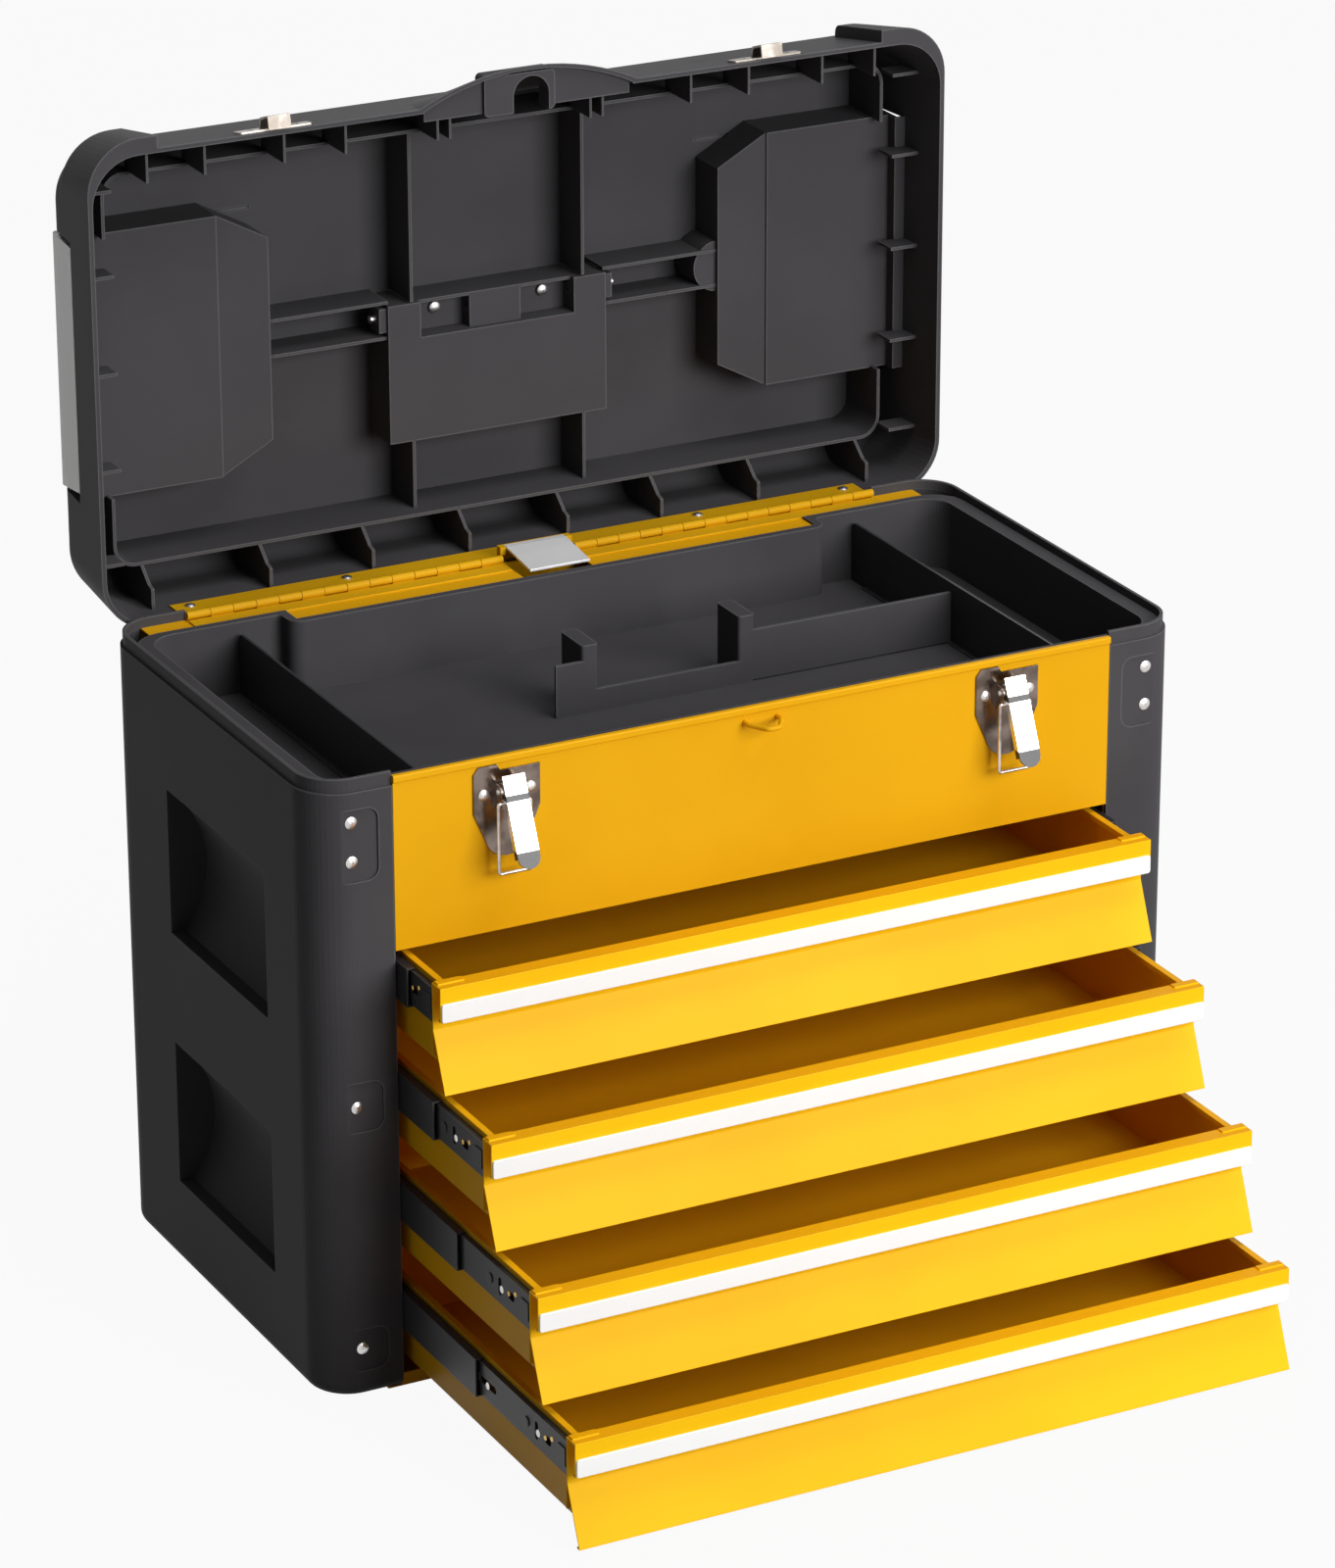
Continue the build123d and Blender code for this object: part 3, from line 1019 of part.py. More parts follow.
        with Locations((-SCREW_X, SCREW_Z), (SCREW_X, SCREW_Z)):
            Circle(SCREW_R + 1.8)
    extrude(amount=-SCREW_BOSS)
    with BuildSketch(lid_plane(TUB_SINK)):
        with Locations((-SCREW_X, SCREW_Z), (SCREW_X, SCREW_Z)):
            Circle(SCREW_R + HOLE_GAP)
    extrude(amount=-(14 + WELL_FLOOR + 1), mode=Mode.SUBTRACT)
    with BuildSketch(Plane.YZ.offset(-WELL_HALF_W - 1)):
        with Locations((LID_RIM_Y + HANDLE_SINK, HANDLE_Z)):
            Circle(HANDLE_PIN_R + PIN_GAP)
    extrude(amount=2 * WELL_HALF_W + 2, mode=Mode.SUBTRACT)
    # Bearing blocks outside the ears, round the ends of the handle pins
    for side in (-1, 1):
        with BuildSketch(Plane.YZ.offset(side * WELL_HALF_W)):
            with Locations((LID_RIM_Y + HANDLE_SINK, HANDLE_Z)):
                Rectangle(14, 15)
                Circle(HANDLE_PIN_R + PIN_GAP, mode=Mode.SUBTRACT)
        extrude(amount=side * 5)
    # Rails between the well and the pockets
    with BuildSketch(lid_plane(TUB_SINK + 2)):
        for rail_z in (508.0, 530.0):
            for side in (-1, 1):
                with Locations((side * (WELL_HALF_W + TUB_INNER_X) / 2, rail_z)):
                    Rectangle(TUB_INNER_X - WELL_HALF_W + 2, RIB_T)
    extrude(amount=-(LID_T - LID_WALL - TUB_SINK - 2))
    with BuildSketch(lid_plane(TUB_SINK + 3)):
        with Locations((TUB_INNER_X + 1, BOSS_Z)):
            Circle(BOSS_R)
        with Locations((TUB_INNER_X + 1, BOSS_Z)):
            Rectangle(2 * BOSS_R, 3 * BOSS_R, align=(Align.MIN, Align.CENTER), mode=Mode.SUBTRACT)
    extrude(amount=-(LID_T - LID_WALL - TUB_SINK - 3))
    # Gussets on the hinge wall, and the ribs on the side and front walls
    for side in (-1, 1):
        for gusset_x in GUSSETS_X:
            with BuildSketch(Plane.YZ.offset(side * gusset_x - RIB_T / 2)):
                with BuildLine():
                    leaf_end = LID_RIM_Y + LEAF_W_LID + 0.4
                    Polyline((LID_RIM_Y + FRAME_SINK + 1, FRAME_LOW + 1),
                             (leaf_end + 5, LID_LOW + LID_WALL + GUSSET_TOP),
                             (leaf_end, LID_LOW + LID_WALL + GUSSET_TOP - 1.5), (leaf_end, LID_LOW + 1),
                             (WEB_Y + 1, LID_LOW + 1), (WEB_Y + 1, FRAME_LOW + 1), close=True)
                make_face()
            extrude(amount=RIB_T)
    add(wall_ribs.part)
    # Screw and rivet holes
    with BuildSketch(Plane.XY.offset(LID_LOW - 1)):
        for side in (-1, 1):
            with Locations(*[(side * x, LID_RIM_Y + LEAF_RIVET_BACK) for x in LEAF_RIVETS_X]):
                Circle(RIVET_R - 0.5 + HOLE_GAP)
    extrude(amount=LID_WALL + 2, mode=Mode.SUBTRACT)
finish(lid, "lid_shell")

# Hinge: two leaves with interleaved knuckles on one long pin, parted at the lid stop
KNUCKLE_L = (HINGE_HALF_L - HINGE_CENTRE_GAP) / KNUCKLES_PER_SIDE
HINGE_REACH = KNUCKLE_R + LEAF_CLEAR


def hinge_leaf(seat_z, edge_y, odd):
    """One hinge leaf: a plate on its seat from edge_y to the knuckles, which stand on short tabs."""
    near_y = HINGE_Y + (HINGE_REACH if edge_y > HINGE_Y else -HINGE_REACH)
    with BuildPart() as leaf:
        with BuildSketch(Plane.XY.offset(seat_z)):
            for side in (-1, 1):
                middle_x = side * (HINGE_HALF_L + HINGE_CENTRE_GAP) / 2
                with Locations((middle_x, (near_y + edge_y) / 2)):
                    Rectangle(HINGE_HALF_L - HINGE_CENTRE_GAP, abs(edge_y - near_y))
                for index in range(odd, KNUCKLES_PER_SIDE, 2):
                    tab_x = side * (HINGE_CENTRE_GAP + KNUCKLE_L * (index + 0.5))
                    with Locations((tab_x, (HINGE_Y + near_y) / 2)):
                        Rectangle(KNUCKLE_L - KNUCKLE_END_GAP, HINGE_REACH)
        extrude(amount=SHEET)
        for side in (-1, 1):
            for index in range(odd, KNUCKLES_PER_SIDE, 2):
                start_x = HINGE_CENTRE_GAP + KNUCKLE_L * index + KNUCKLE_END_GAP / 2
                with BuildSketch(Plane.YZ.offset(side * start_x)):
                    with Locations((HINGE_Y, HINGE_Z)):
                        Circle(KNUCKLE_R)
                extrude(amount=side * (KNUCKLE_L - KNUCKLE_END_GAP))
        with BuildSketch(Plane.YZ.offset(-HINGE_HALF_L - 1)):
            with Locations((HINGE_Y, HINGE_Z)):
                Circle(HINGE_PIN_R + PIN_GAP)
        extrude(amount=2 * HINGE_HALF_L + 2, mode=Mode.SUBTRACT)
    return leaf.part


with BuildPart() as leaf_body:
    add(hinge_leaf(DECK_Z, HINGE_Y - HINGE_REACH - LEAF_W_BODY, 0))
finish(leaf_body, "hinge_leaf_body")

LEAF_SEAT = LID_LOW + LID_WALL
RIVET_Y = LID_RIM_Y + LEAF_RIVET_BACK
with BuildPart() as leaf_lid:
    add(hinge_leaf(LEAF_SEAT, LID_RIM_Y + LEAF_W_LID, 1))
    with BuildSketch(Plane.XY.offset(LEAF_SEAT)):
        with Locations((0, LID_RIM_Y + LEAF_W_LID)):
            Rectangle(2 * HINGE_CENTRE_GAP + 2, LEAF_W_LID - 1, align=(Align.CENTER, Align.MAX))
        for side in (-1, 1):
            with Locations(*[(side * rivet_x, RIVET_Y) for rivet_x in LEAF_RIVETS_X]):
                Circle(RIVET_R - 0.5 + HOLE_GAP, mode=Mode.SUBTRACT)
    extrude(amount=SHEET)
    with BuildSketch(Plane.XY.offset(LEAF_SEAT)):
        for side in (-1, 1):
            with Locations(*[(side * rivet_x, RIVET_Y) for rivet_x in LEAF_RIVETS_X]):
                Circle(RIVET_R - 0.5 + HOLE_GAP)
    extrude(amount=SHEET, mode=Mode.SUBTRACT)
    with BuildSketch(Plane.YZ.offset(-STOP_HALF_W - 4)):
        with Locations((LID_RIM_Y + 1.5, LEAF_SEAT)):
            Rectangle(SHEET, STOP_RISE, align=(Align.MIN, Align.MIN))
    extrude(amount=2 * STOP_HALF_W + 8)
    with BuildSketch(Plane.XY.offset(LEAF_SEAT + STOP_RISE - 5)):
        for side in (-1, 1):
            with Locations((side * (STOP_HALF_W + 0.2), LID_RIM_Y + 1.5)):
                Rectangle(3.8, 4, align=(Align.MIN if side > 0 else Align.MAX, Align.MAX))
    extrude(amount=5)
finish(leaf_lid, "hinge_leaf_lid")

with BuildPart() as hinge_pin:
    for side in (-1, 1):
        with BuildSketch(Plane.YZ.offset(side * (HINGE_CENTRE_GAP + 0.5))):
            with Locations((HINGE_Y, HINGE_Z)):
                Circle(HINGE_PIN_R)
        extrude(amount=side * (HINGE_HALF_L - HINGE_CENTRE_GAP - 1))
finish(hinge_pin, "hinge_pin")

leaf_rivet = rivet(RIVET_R - 0.5, RIVET_HEAD_R - 0.4, RIVET_HEAD_H, SHEET + LID_WALL)
with BuildPart() as leaf_rivets:
    for side in (-1, 1):
        with Locations(*[(side * rivet_x, RIVET_Y, LEAF_SEAT + SHEET) for rivet_x in LEAF_RIVETS_X]):
            add(leaf_rivet)
finish(leaf_rivets, "hinge_rivets")

# Lid stop: a plate held by the lid leaf that bridges the notch behind the tray
with BuildPart() as stop:
    with BuildSketch(Plane.YZ.offset(-STOP_HALF_W)):
        with BuildLine():
            top_y = LID_RIM_Y + 1.5
            top_z = LEAF_SEAT + STOP_RISE
            low_y = HINGE_Y - STOP_REACH
            Polyline((top_y, top_z), (top_y - 4, top_z), (low_y, HINGE_Z + 2.2), (low_y, HINGE_Z + 0.7),
                     (top_y - 4, top_z - 1.5), (top_y, top_z - 1.5), close=True)
        make_face()
    extrude(amount=2 * STOP_HALF_W)
finish(stop, "lid_stop_plate")

# Strikes on the front wall of the lid, for the latch bails
strike_tilt = (LID_FRONT_DRAFT ** 2 + LID_T ** 2) ** 0.5
normal = (0, LID_FRONT_DRAFT / strike_tilt, LID_T / strike_tilt)
with BuildPart() as strikes:
    for side in (-1, 1):
        seat = Plane((side * LATCH_X, LID_RIM_Y + STRIKE_SINK,
                      LID_TOP - LID_FRONT_DRAFT * STRIKE_SINK / LID_T),
                     x_dir=(1, 0, 0), z_dir=normal)
        with BuildSketch(seat):
            plate = Rectangle(STRIKE_W, STRIKE_PLATE_D)
            fillet(plate.vertices(), 1.5)
            with Locations((-LATCH_RIVET_X, 0), (LATCH_RIVET_X, 0)):
                Circle(1.8, mode=Mode.SUBTRACT)
        extrude(amount=LATCH_PLATE_T)
        along = Vector(0, LID_T / strike_tilt, -LID_FRONT_DRAFT / strike_tilt)
        section = Plane(seat.origin, x_dir=along, z_dir=(1, 0, 0))
        t = LATCH_PLATE_T
        with BuildSketch(section.offset(-STRIKE_HOOK_W / 2)):
            with BuildLine():
                front = -STRIKE_SINK - 2.2
                Polyline((5, 0), (5, t), (1.5, STRIKE_HOOK_H - 1.5), (front + 2, STRIKE_HOOK_H),
                         (front, STRIKE_HOOK_H),
                         (front, 1), (front + t, 1), (front + t, STRIKE_HOOK_H - t),
                         (1.5 - t, STRIKE_HOOK_H - 1.5 - t), (4 - t, t), (4 - t, 0), close=True)
            make_face()
        extrude(amount=STRIKE_HOOK_W)
finish(strikes, "latch_strikes")

# Carry handle in the lid, folded down in its well, on two pins
HANDLE_Y = LID_RIM_Y + HANDLE_SINK
EYE_R = HANDLE_ARM_T / 2
with BuildPart() as handle:
    arm_w = WELL_HALF_W - WELL_FLOOR - EAR_INNER_X - WELL_FLOOR - 1.6
    arm_mid = (WELL_HALF_W + EAR_INNER_X) / 2
    grip_y = LID_BACK_Y - 2.0 - HANDLE_THICK / 2
    for side in (-1, 1):
        with BuildSketch(Plane.YZ.offset(side * arm_mid - arm_w / 2)):
            with BuildLine():
                Polyline((HANDLE_Y - EYE_R, HANDLE_Z), (HANDLE_Y - EYE_R, HANDLE_Z - HANDLE_NECK),
                         (grip_y - HANDLE_THICK / 2, HANDLE_Z - HANDLE_DROP + 6),
                         (grip_y - HANDLE_THICK / 2, HANDLE_Z - HANDLE_DROP - 6),
                         (grip_y + HANDLE_THICK / 2, HANDLE_Z - HANDLE_DROP - 6),
                         (grip_y + HANDLE_THICK / 2, HANDLE_Z - HANDLE_DROP + 14),
                         (HANDLE_Y + EYE_R, HANDLE_Z - HANDLE_NECK), (HANDLE_Y + EYE_R, HANDLE_Z))
                ThreePointArc((HANDLE_Y + EYE_R, HANDLE_Z), (HANDLE_Y, HANDLE_Z + EYE_R),
                              (HANDLE_Y - EYE_R, HANDLE_Z))
            make_face()
            with Locations((HANDLE_Y, HANDLE_Z)):
                Circle(HANDLE_PIN_R + PIN_GAP, mode=Mode.SUBTRACT)
        extrude(amount=arm_w)
    with BuildSketch(Plane.YZ.offset(-arm_mid)):
        with Locations((grip_y, HANDLE_Z - HANDLE_DROP)):
            RectangleRounded(HANDLE_THICK, 15, 5)
    extrude(amount=2 * arm_mid)
finish(handle, "carry_handle")

with BuildPart() as handle_pins:
    for side in (-1, 1):
        with BuildSketch(Plane.YZ.offset(side * (EAR_INNER_X + WELL_FLOOR + 0.2))):
            with Locations((HANDLE_Y, HANDLE_Z)):
                Circle(HANDLE_PIN_R)
        extrude(amount=side * (WELL_HALF_W - EAR_INNER_X - WELL_FLOOR + 8))
finish(handle_pins, "handle_pins")

# Smoky covers over the organiser pockets, hinged along their upper edges
COVER_LOW = TUB_LOW + SEAT_EDGE + COVER_GAP
COVER_TOP = COVER_AXIS_Z + 3.0
side_run = LID_SIDE_DRAFT / LID_T
for side, name in ((-1, "left"), (1, "right")):
    with BuildPart() as cover:
        edge_x = LID_W / 2 - 0.4

        def cover_x(sink, inset=0.0):
            return side * (edge_x - side_run * sink - inset)

        skirt_sink = TUB_SPLIT_SINK + COVER_GAP
        rim_y = LID_RIM_Y
        inner_x = side * (TUB_INNER_X + SEAT_EDGE + COVER_GAP)
        with BuildSketch(Plane.XY.offset(COVER_LOW)):
            with BuildLine():
                Polyline((inner_x, rim_y + LID_T), (cover_x(LID_T, 4), rim_y + LID_T),
                         (cover_x(LID_T - 4), rim_y + LID_T - 4), (cover_x(skirt_sink), rim_y + skirt_sink),
                         (cover_x(skirt_sink, COVER_T), rim_y + skirt_sink),
                         (cover_x(LID_T - 5, COVER_T), rim_y + LID_T - 5),
                         (cover_x(LID_T - COVER_T, 5), rim_y + LID_T - COVER_T),
                         (inner_x, rim_y + LID_T - COVER_T), close=True)
            make_face()
        extrude(amount=COVER_TOP - COVER_LOW)
        with BuildSketch(Plane.YZ.offset(-LID_W)):
            with BuildLine():
                Polyline((rim_y + LID_T - 6, COVER_LOW - 1), (rim_y + skirt_sink - 1, COVER_LOW - 1),
                         (rim_y + skirt_sink - 1, COVER_LOW + 5.5), (rim_y + LID_T - 6,
                                                                     COVER_LOW), close=True)
            make_face()
        extrude(amount=2 * LID_W, mode=Mode.SUBTRACT)
        with BuildSketch(Plane.XZ.offset(-rim_y)):
            with Locations((side * (TUB_INNER_X - 1), COVER_AXIS_Z - 4)):
                Rectangle(TUB_CHAMFER[0] + 2, 13, align=(Align.MIN if side > 0 else Align.MAX, Align.MIN))
        extrude(amount=-2 * LID_T, mode=Mode.SUBTRACT)
        # Notch that passes over the pocket's outer wall as the cover turns
        with BuildSketch(lid_plane(LID_T - COVER_T - 0.6)):
            with Locations((side * (TUB_OUTER_X - TUB_WALL - 0.4), COVER_AXIS_Z - 0.4)):
                Rectangle(TUB_WALL + 1.4, 10, align=(Align.MIN if side > 0 else Align.MAX, Align.MIN))
        extrude(amount=-10, mode=Mode.SUBTRACT)
        barrel_start = side * (TUB_INNER_X + TUB_CHAMFER[0] - 2)
        barrel_l = TUB_OUTER_X - TUB_INNER_X - TUB_CHAMFER[0] + 2 - TUB_WALL - 0.5
        with BuildSketch(Plane.YZ.offset(barrel_start)):
            with Locations((rim_y + COVER_AXIS_SINK, COVER_AXIS_Z)):
                Circle(COVER_BARREL_R)
        extrude(amount=side * barrel_l)
        with BuildSketch(Plane.YZ.offset(barrel_start - side * 7)):
            with Locations((rim_y + COVER_AXIS_SINK, COVER_AXIS_Z)):
                Circle(COVER_STUB_R)
        extrude(amount=side * (barrel_l + 7 + TUB_WALL + 0.3))
    finish(cover, f"organiser_cover_{name}")

# Screws that hold the bracket between the ears
bracket_screw = rivet(SCREW_R, SCREW_R + 1.4, 1.4, SCREW_BOSS + WELL_FLOOR)
with BuildPart() as bracket_screws:
    for side in (-1, 1):
        seat = Plane((side * SCREW_X, LID_RIM_Y + TUB_SINK + 14 - SCREW_BOSS, SCREW_Z),
                     x_dir=(1, 0, 0), z_dir=(0, -1, 0))
        with Locations(seat):
            add(bracket_screw)
finish(bracket_screws, "bracket_screws")
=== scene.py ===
import json
import math
import bpy
import bmesh
from mathutils import Matrix, Vector


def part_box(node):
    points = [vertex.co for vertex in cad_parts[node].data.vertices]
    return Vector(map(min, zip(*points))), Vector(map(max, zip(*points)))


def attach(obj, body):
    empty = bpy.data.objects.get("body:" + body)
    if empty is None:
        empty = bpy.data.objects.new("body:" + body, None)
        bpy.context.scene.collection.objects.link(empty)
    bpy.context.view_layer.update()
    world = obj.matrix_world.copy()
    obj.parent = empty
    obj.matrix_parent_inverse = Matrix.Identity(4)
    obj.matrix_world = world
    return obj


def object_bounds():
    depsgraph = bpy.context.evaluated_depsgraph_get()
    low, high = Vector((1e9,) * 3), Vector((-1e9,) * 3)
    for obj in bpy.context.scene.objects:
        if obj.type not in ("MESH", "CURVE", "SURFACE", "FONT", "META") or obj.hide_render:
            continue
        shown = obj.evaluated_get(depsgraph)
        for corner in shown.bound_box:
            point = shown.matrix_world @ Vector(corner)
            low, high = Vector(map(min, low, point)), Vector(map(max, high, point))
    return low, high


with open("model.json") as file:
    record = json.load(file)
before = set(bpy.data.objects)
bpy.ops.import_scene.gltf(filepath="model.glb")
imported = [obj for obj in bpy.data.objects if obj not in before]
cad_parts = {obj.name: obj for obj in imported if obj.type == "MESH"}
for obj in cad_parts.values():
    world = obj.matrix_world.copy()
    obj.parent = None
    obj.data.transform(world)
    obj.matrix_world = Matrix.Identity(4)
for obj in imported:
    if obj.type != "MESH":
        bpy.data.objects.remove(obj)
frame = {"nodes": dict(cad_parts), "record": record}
cad_low, cad_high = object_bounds()
nodes = frame["nodes"]
scene = bpy.context.scene

# Heights on the stored pose that a lever's finish follows, in metres
LEVER_TIP_Z = 0.3285
PIN_GROOVE_Z = (0.3548, 0.3552, 0.3581, 0.3585)

# Widths of the softened edges, by material slot, and the angle above which an edge is softened
EDGE = {"black_plastic": 0.0007, "yellow_paint": 0.0003, "trim_white": 0.0002,
        "black_steel": 0.0002, "nickel": 0.0002, "grey_steel": 0.0002, "smoky_plastic": 0.0004}
EDGE_ANGLE = 40
WELD_REACH = 0.00001

# Heads on the inner slide members: (distance behind the front end, height above the middle)
DRAWERS = range(1, 5)
SIDES = ((-1, "left"), (1, "right"))
RIVET_SPOTS = ((0.036, -0.001), (0.099, -0.001))
TAB_SPOTS = ((0.019, 0.0035), (0.027, 0.0005))
RIVET_RADIUS, TAB_RADIUS, HEAD_HEIGHT = 0.0023, 0.0016, 0.0008
HEAD_SINK = 0.00095

FLOOR_HALF, FLOOR_GAP = 30, 0.0005
FLOOR_GREY, FLOOR_SHOWN_WHITE = 0.36, 0.94
WORLD_ON_OBJECT, WORLD_SEEN = 0.08, 1.0


# Shader helpers
class Value:
    """A shader value with maths: numbers and other values go in, a new value comes out."""

    def __init__(self, mat, socket):
        self.mat, self.socket = mat, socket

    def _math(self, kind, *others):
        node = self.mat.tree.nodes.new("ShaderNodeMath")
        node.operation = kind
        for place, item in enumerate((self,) + others):
            self.mat.feed(node.inputs[place], item)
        return Value(self.mat, node.outputs[0])

    def __add__(self, other):
        return self._math("ADD", other)

    def __sub__(self, other):
        return self._math("SUBTRACT", other)

    def __mul__(self, other):
        return self._math("MULTIPLY", other)

    __radd__, __rmul__ = __add__, __mul__

    def __rsub__(self, other):
        return self._math("MULTIPLY_ADD", -1.0, other)

    def clamp(self, low=0.0, high=1.0):
        return self._math("MAXIMUM", low)._math("MINIMUM", high)

    def ramp(self, low, high, out_low=0.0, out_high=1.0):
        """Smoothly maps low..high to out_low..out_high."""
        node = self.mat.make("ShaderNodeMapRange", interpolation_type="SMOOTHSTEP")
        for name, item in (("Value", self), ("From Min", low), ("From Max", high),
                           ("To Min", out_low), ("To Max", out_high)):
            self.mat.feed(node.inputs[name], item)
        return Value(self.mat, node.outputs["Result"])


class Mat:
    """A material with one Principled shader."""

    def __init__(self, name, **constants):
        self.material = bpy.data.materials.new(name)
        self.material.use_nodes = True
        self.tree = self.material.node_tree
        self.shader = self.tree.nodes["Principled BSDF"]
        for key, number in constants.items():
            self.shader.inputs[key.replace("_", " ")].default_value = number
        self.coords = self.tree.nodes.new("ShaderNodeTexCoord").outputs["Object"]

    def make(self, kind, **settings):
        node = self.tree.nodes.new(kind)
        for key, setting in settings.items():
            setattr(node, key, setting)
        return node

    def feed(self, socket, item):
        if isinstance(item, Value):
            self.tree.links.new(item.socket, socket)
        elif isinstance(item, bpy.types.NodeSocket):
            self.tree.links.new(item, socket)
        else:
            socket.default_value = item

    def node(self, kind, output=0, settings=None, **inputs):
        """Any other node: its settings, then its inputs by name, and one output as a value."""
        made = self.make(kind, **(settings or {}))
        for key, item in inputs.items():
            self.feed(made.inputs[key.replace("_", " ")], item)
        return Value(self, made.outputs[output])

    def noise(self, scale, detail=3.0, roughness=0.5, stretch=None):
        vector = self.coords
        if stretch:
            vector = self.node("ShaderNodeMapping", Vector=vector, Scale=stretch)
        return self.node("ShaderNodeTexNoise", Vector=vector, Scale=scale, Detail=detail,
                         Roughness=roughness)

    def cells(self, scale):
        return self.node("ShaderNodeTexVoronoi", Vector=self.coords, Scale=scale)

    def height(self):
        """How high a point is on the piece as it was drawn."""
        return self.node("ShaderNodeSeparateXYZ", output="Z", Vector=self.coords)

    def facing_up(self):
        normal = self.tree.nodes.new("ShaderNodeNewGeometry").outputs["Normal"]
        return self.node("ShaderNodeSeparateXYZ", output="Z", Vector=normal)

    def painted_edge_highlight(self, reach=0.0016):
        """Picks out convex edges for a painted highlight: where a normal rounded within reach
        leaves the true one.
        """
        true_normal = self.tree.nodes.new("ShaderNodeNewGeometry").outputs["Normal"]
        rounded = self.make("ShaderNodeBevel", samples=4)
        rounded.inputs["Radius"].default_value = reach
        compare = self.make("ShaderNodeVectorMath", operation="DOT_PRODUCT")
        self.tree.links.new(true_normal, compare.inputs[0])
        self.tree.links.new(rounded.outputs[0], compare.inputs[1])
        bent = 1.0 - Value(self, compare.outputs["Value"])
        open_air = self.make("ShaderNodeAmbientOcclusion", samples=4)
        open_air.inputs["Distance"].default_value = 2 * reach
        return bent.ramp(0.015, 0.16) * Value(self, open_air.outputs["AO"]).ramp(0.72, 0.93)

    def mix(self, factor, first, second):
        node = self.make("ShaderNodeMix", data_type="RGBA")
        self.feed(node.inputs["Factor"], factor)
        for socket, colour in ((node.inputs[6], first), (node.inputs[7], second)):
            self.feed(socket, (*colour, 1.0) if isinstance(colour, tuple) else colour)
        return Value(self, node.outputs[2])

    def set(self, name, item):
        self.feed(self.shader.inputs[name], item)

    def finish(self, height, distance, strength):
        """Feeds a fine bump to the shader and gives the material."""
        node = self.make("ShaderNodeBump")
        self.feed(node.inputs["Height"], height)
        node.inputs["Distance"].default_value = distance
        node.inputs["Strength"].default_value = strength
        self.tree.links.new(node.outputs[0], self.shader.inputs["Normal"])
        return self.material


# Materials
def black_plastic():
    """Grained moulding with soft scuffs, a little paler along its edges as a painted highlight.
    """
    m = Mat("black_plastic", Specular_IOR_Level=0.02)
    grain = m.cells(1500.0) * 0.6 + m.noise(2600.0, 2.0) * 0.4
    cloud = m.noise(9.0, 4.0)
    scuff = m.noise(60.0, 6.0, 0.62, stretch=(1.0, 0.35, 2.2)).ramp(0.62, 0.8)
    tone = m.mix(cloud.ramp(0.3, 0.7), (0.062, 0.059, 0.063), (0.073, 0.070, 0.074))
    tone = m.mix(scuff * 0.2, tone, (0.085, 0.082, 0.085))
    # Painted highlight: convex edges are lightened towards pale grey.
    tone = m.mix(m.painted_edge_highlight() * 0.55, tone, (0.24, 0.236, 0.24))
    m.set("Base Color", tone)
    m.set("Roughness", (0.46 + 0.14 * cloud + 0.12 * scuff - 0.08 * grain).clamp(0.25, 0.85))
    return m.finish(grain, 0.00012, 0.5)


def powder_coat(name, dark, light, up_facing_painted_shade=None):
    """Powder coat with a faint peel; faces that look up can take a painted shade, a colour given
    as the last argument.
    """
    m = Mat(name, Coat_Roughness=0.2, Specular_IOR_Level=0.06, Coat_IOR=1.3)
    peel = m.noise(1100.0, 2.0)
    cloud = m.noise(7.0, 3.0)
    tone = m.mix(cloud.ramp(0.3, 0.7), dark, light)
    if up_facing_painted_shade:
        # Painted shade: faces that look up get a darker, more orange colour.
        tone = m.mix(m.facing_up().ramp(0.6, 0.9), tone, up_facing_painted_shade)
    m.set("Base Color", tone)
    m.set("Roughness", 0.36 + 0.1 * cloud)
    m.set("Coat Weight", 0.02 + 0.05 * cloud)
    return m.finish(peel, 0.00008, 0.3)


def trim_white():
    m = Mat("trim_white", Specular_IOR_Level=0.3)
    cloud = m.noise(22.0, 3.0)
    m.set("Base Color", m.mix(cloud, (0.90, 0.90, 0.89), (0.95, 0.95, 0.945)))
    m.set("Roughness", 0.26 + 0.12 * cloud)
    return m.finish(m.noise(700.0), 0.00004, 0.3)


def black_steel():
    """Drawn slide rail, darkened, with bright edges that are a painted highlight."""
    m = Mat("black_steel", Metallic=0.1, Specular_IOR_Level=0.25)
    drawn = m.noise(420.0, 3.0, 0.6, stretch=(6.0, 0.05, 6.0))
    cloud = m.noise(30.0, 4.0)
    tone = m.mix(cloud, (0.016, 0.016, 0.018), (0.032, 0.032, 0.035))
    # Painted highlight: convex edges are lightened towards grey.
    tone = m.mix(m.painted_edge_highlight(0.0006) * 0.5, tone, (0.3, 0.3, 0.31))
    m.set("Base Color", tone)
    m.set("Roughness", (0.30 + 0.25 * drawn).clamp())
    return m.finish(drawn, 0.00003, 0.4)


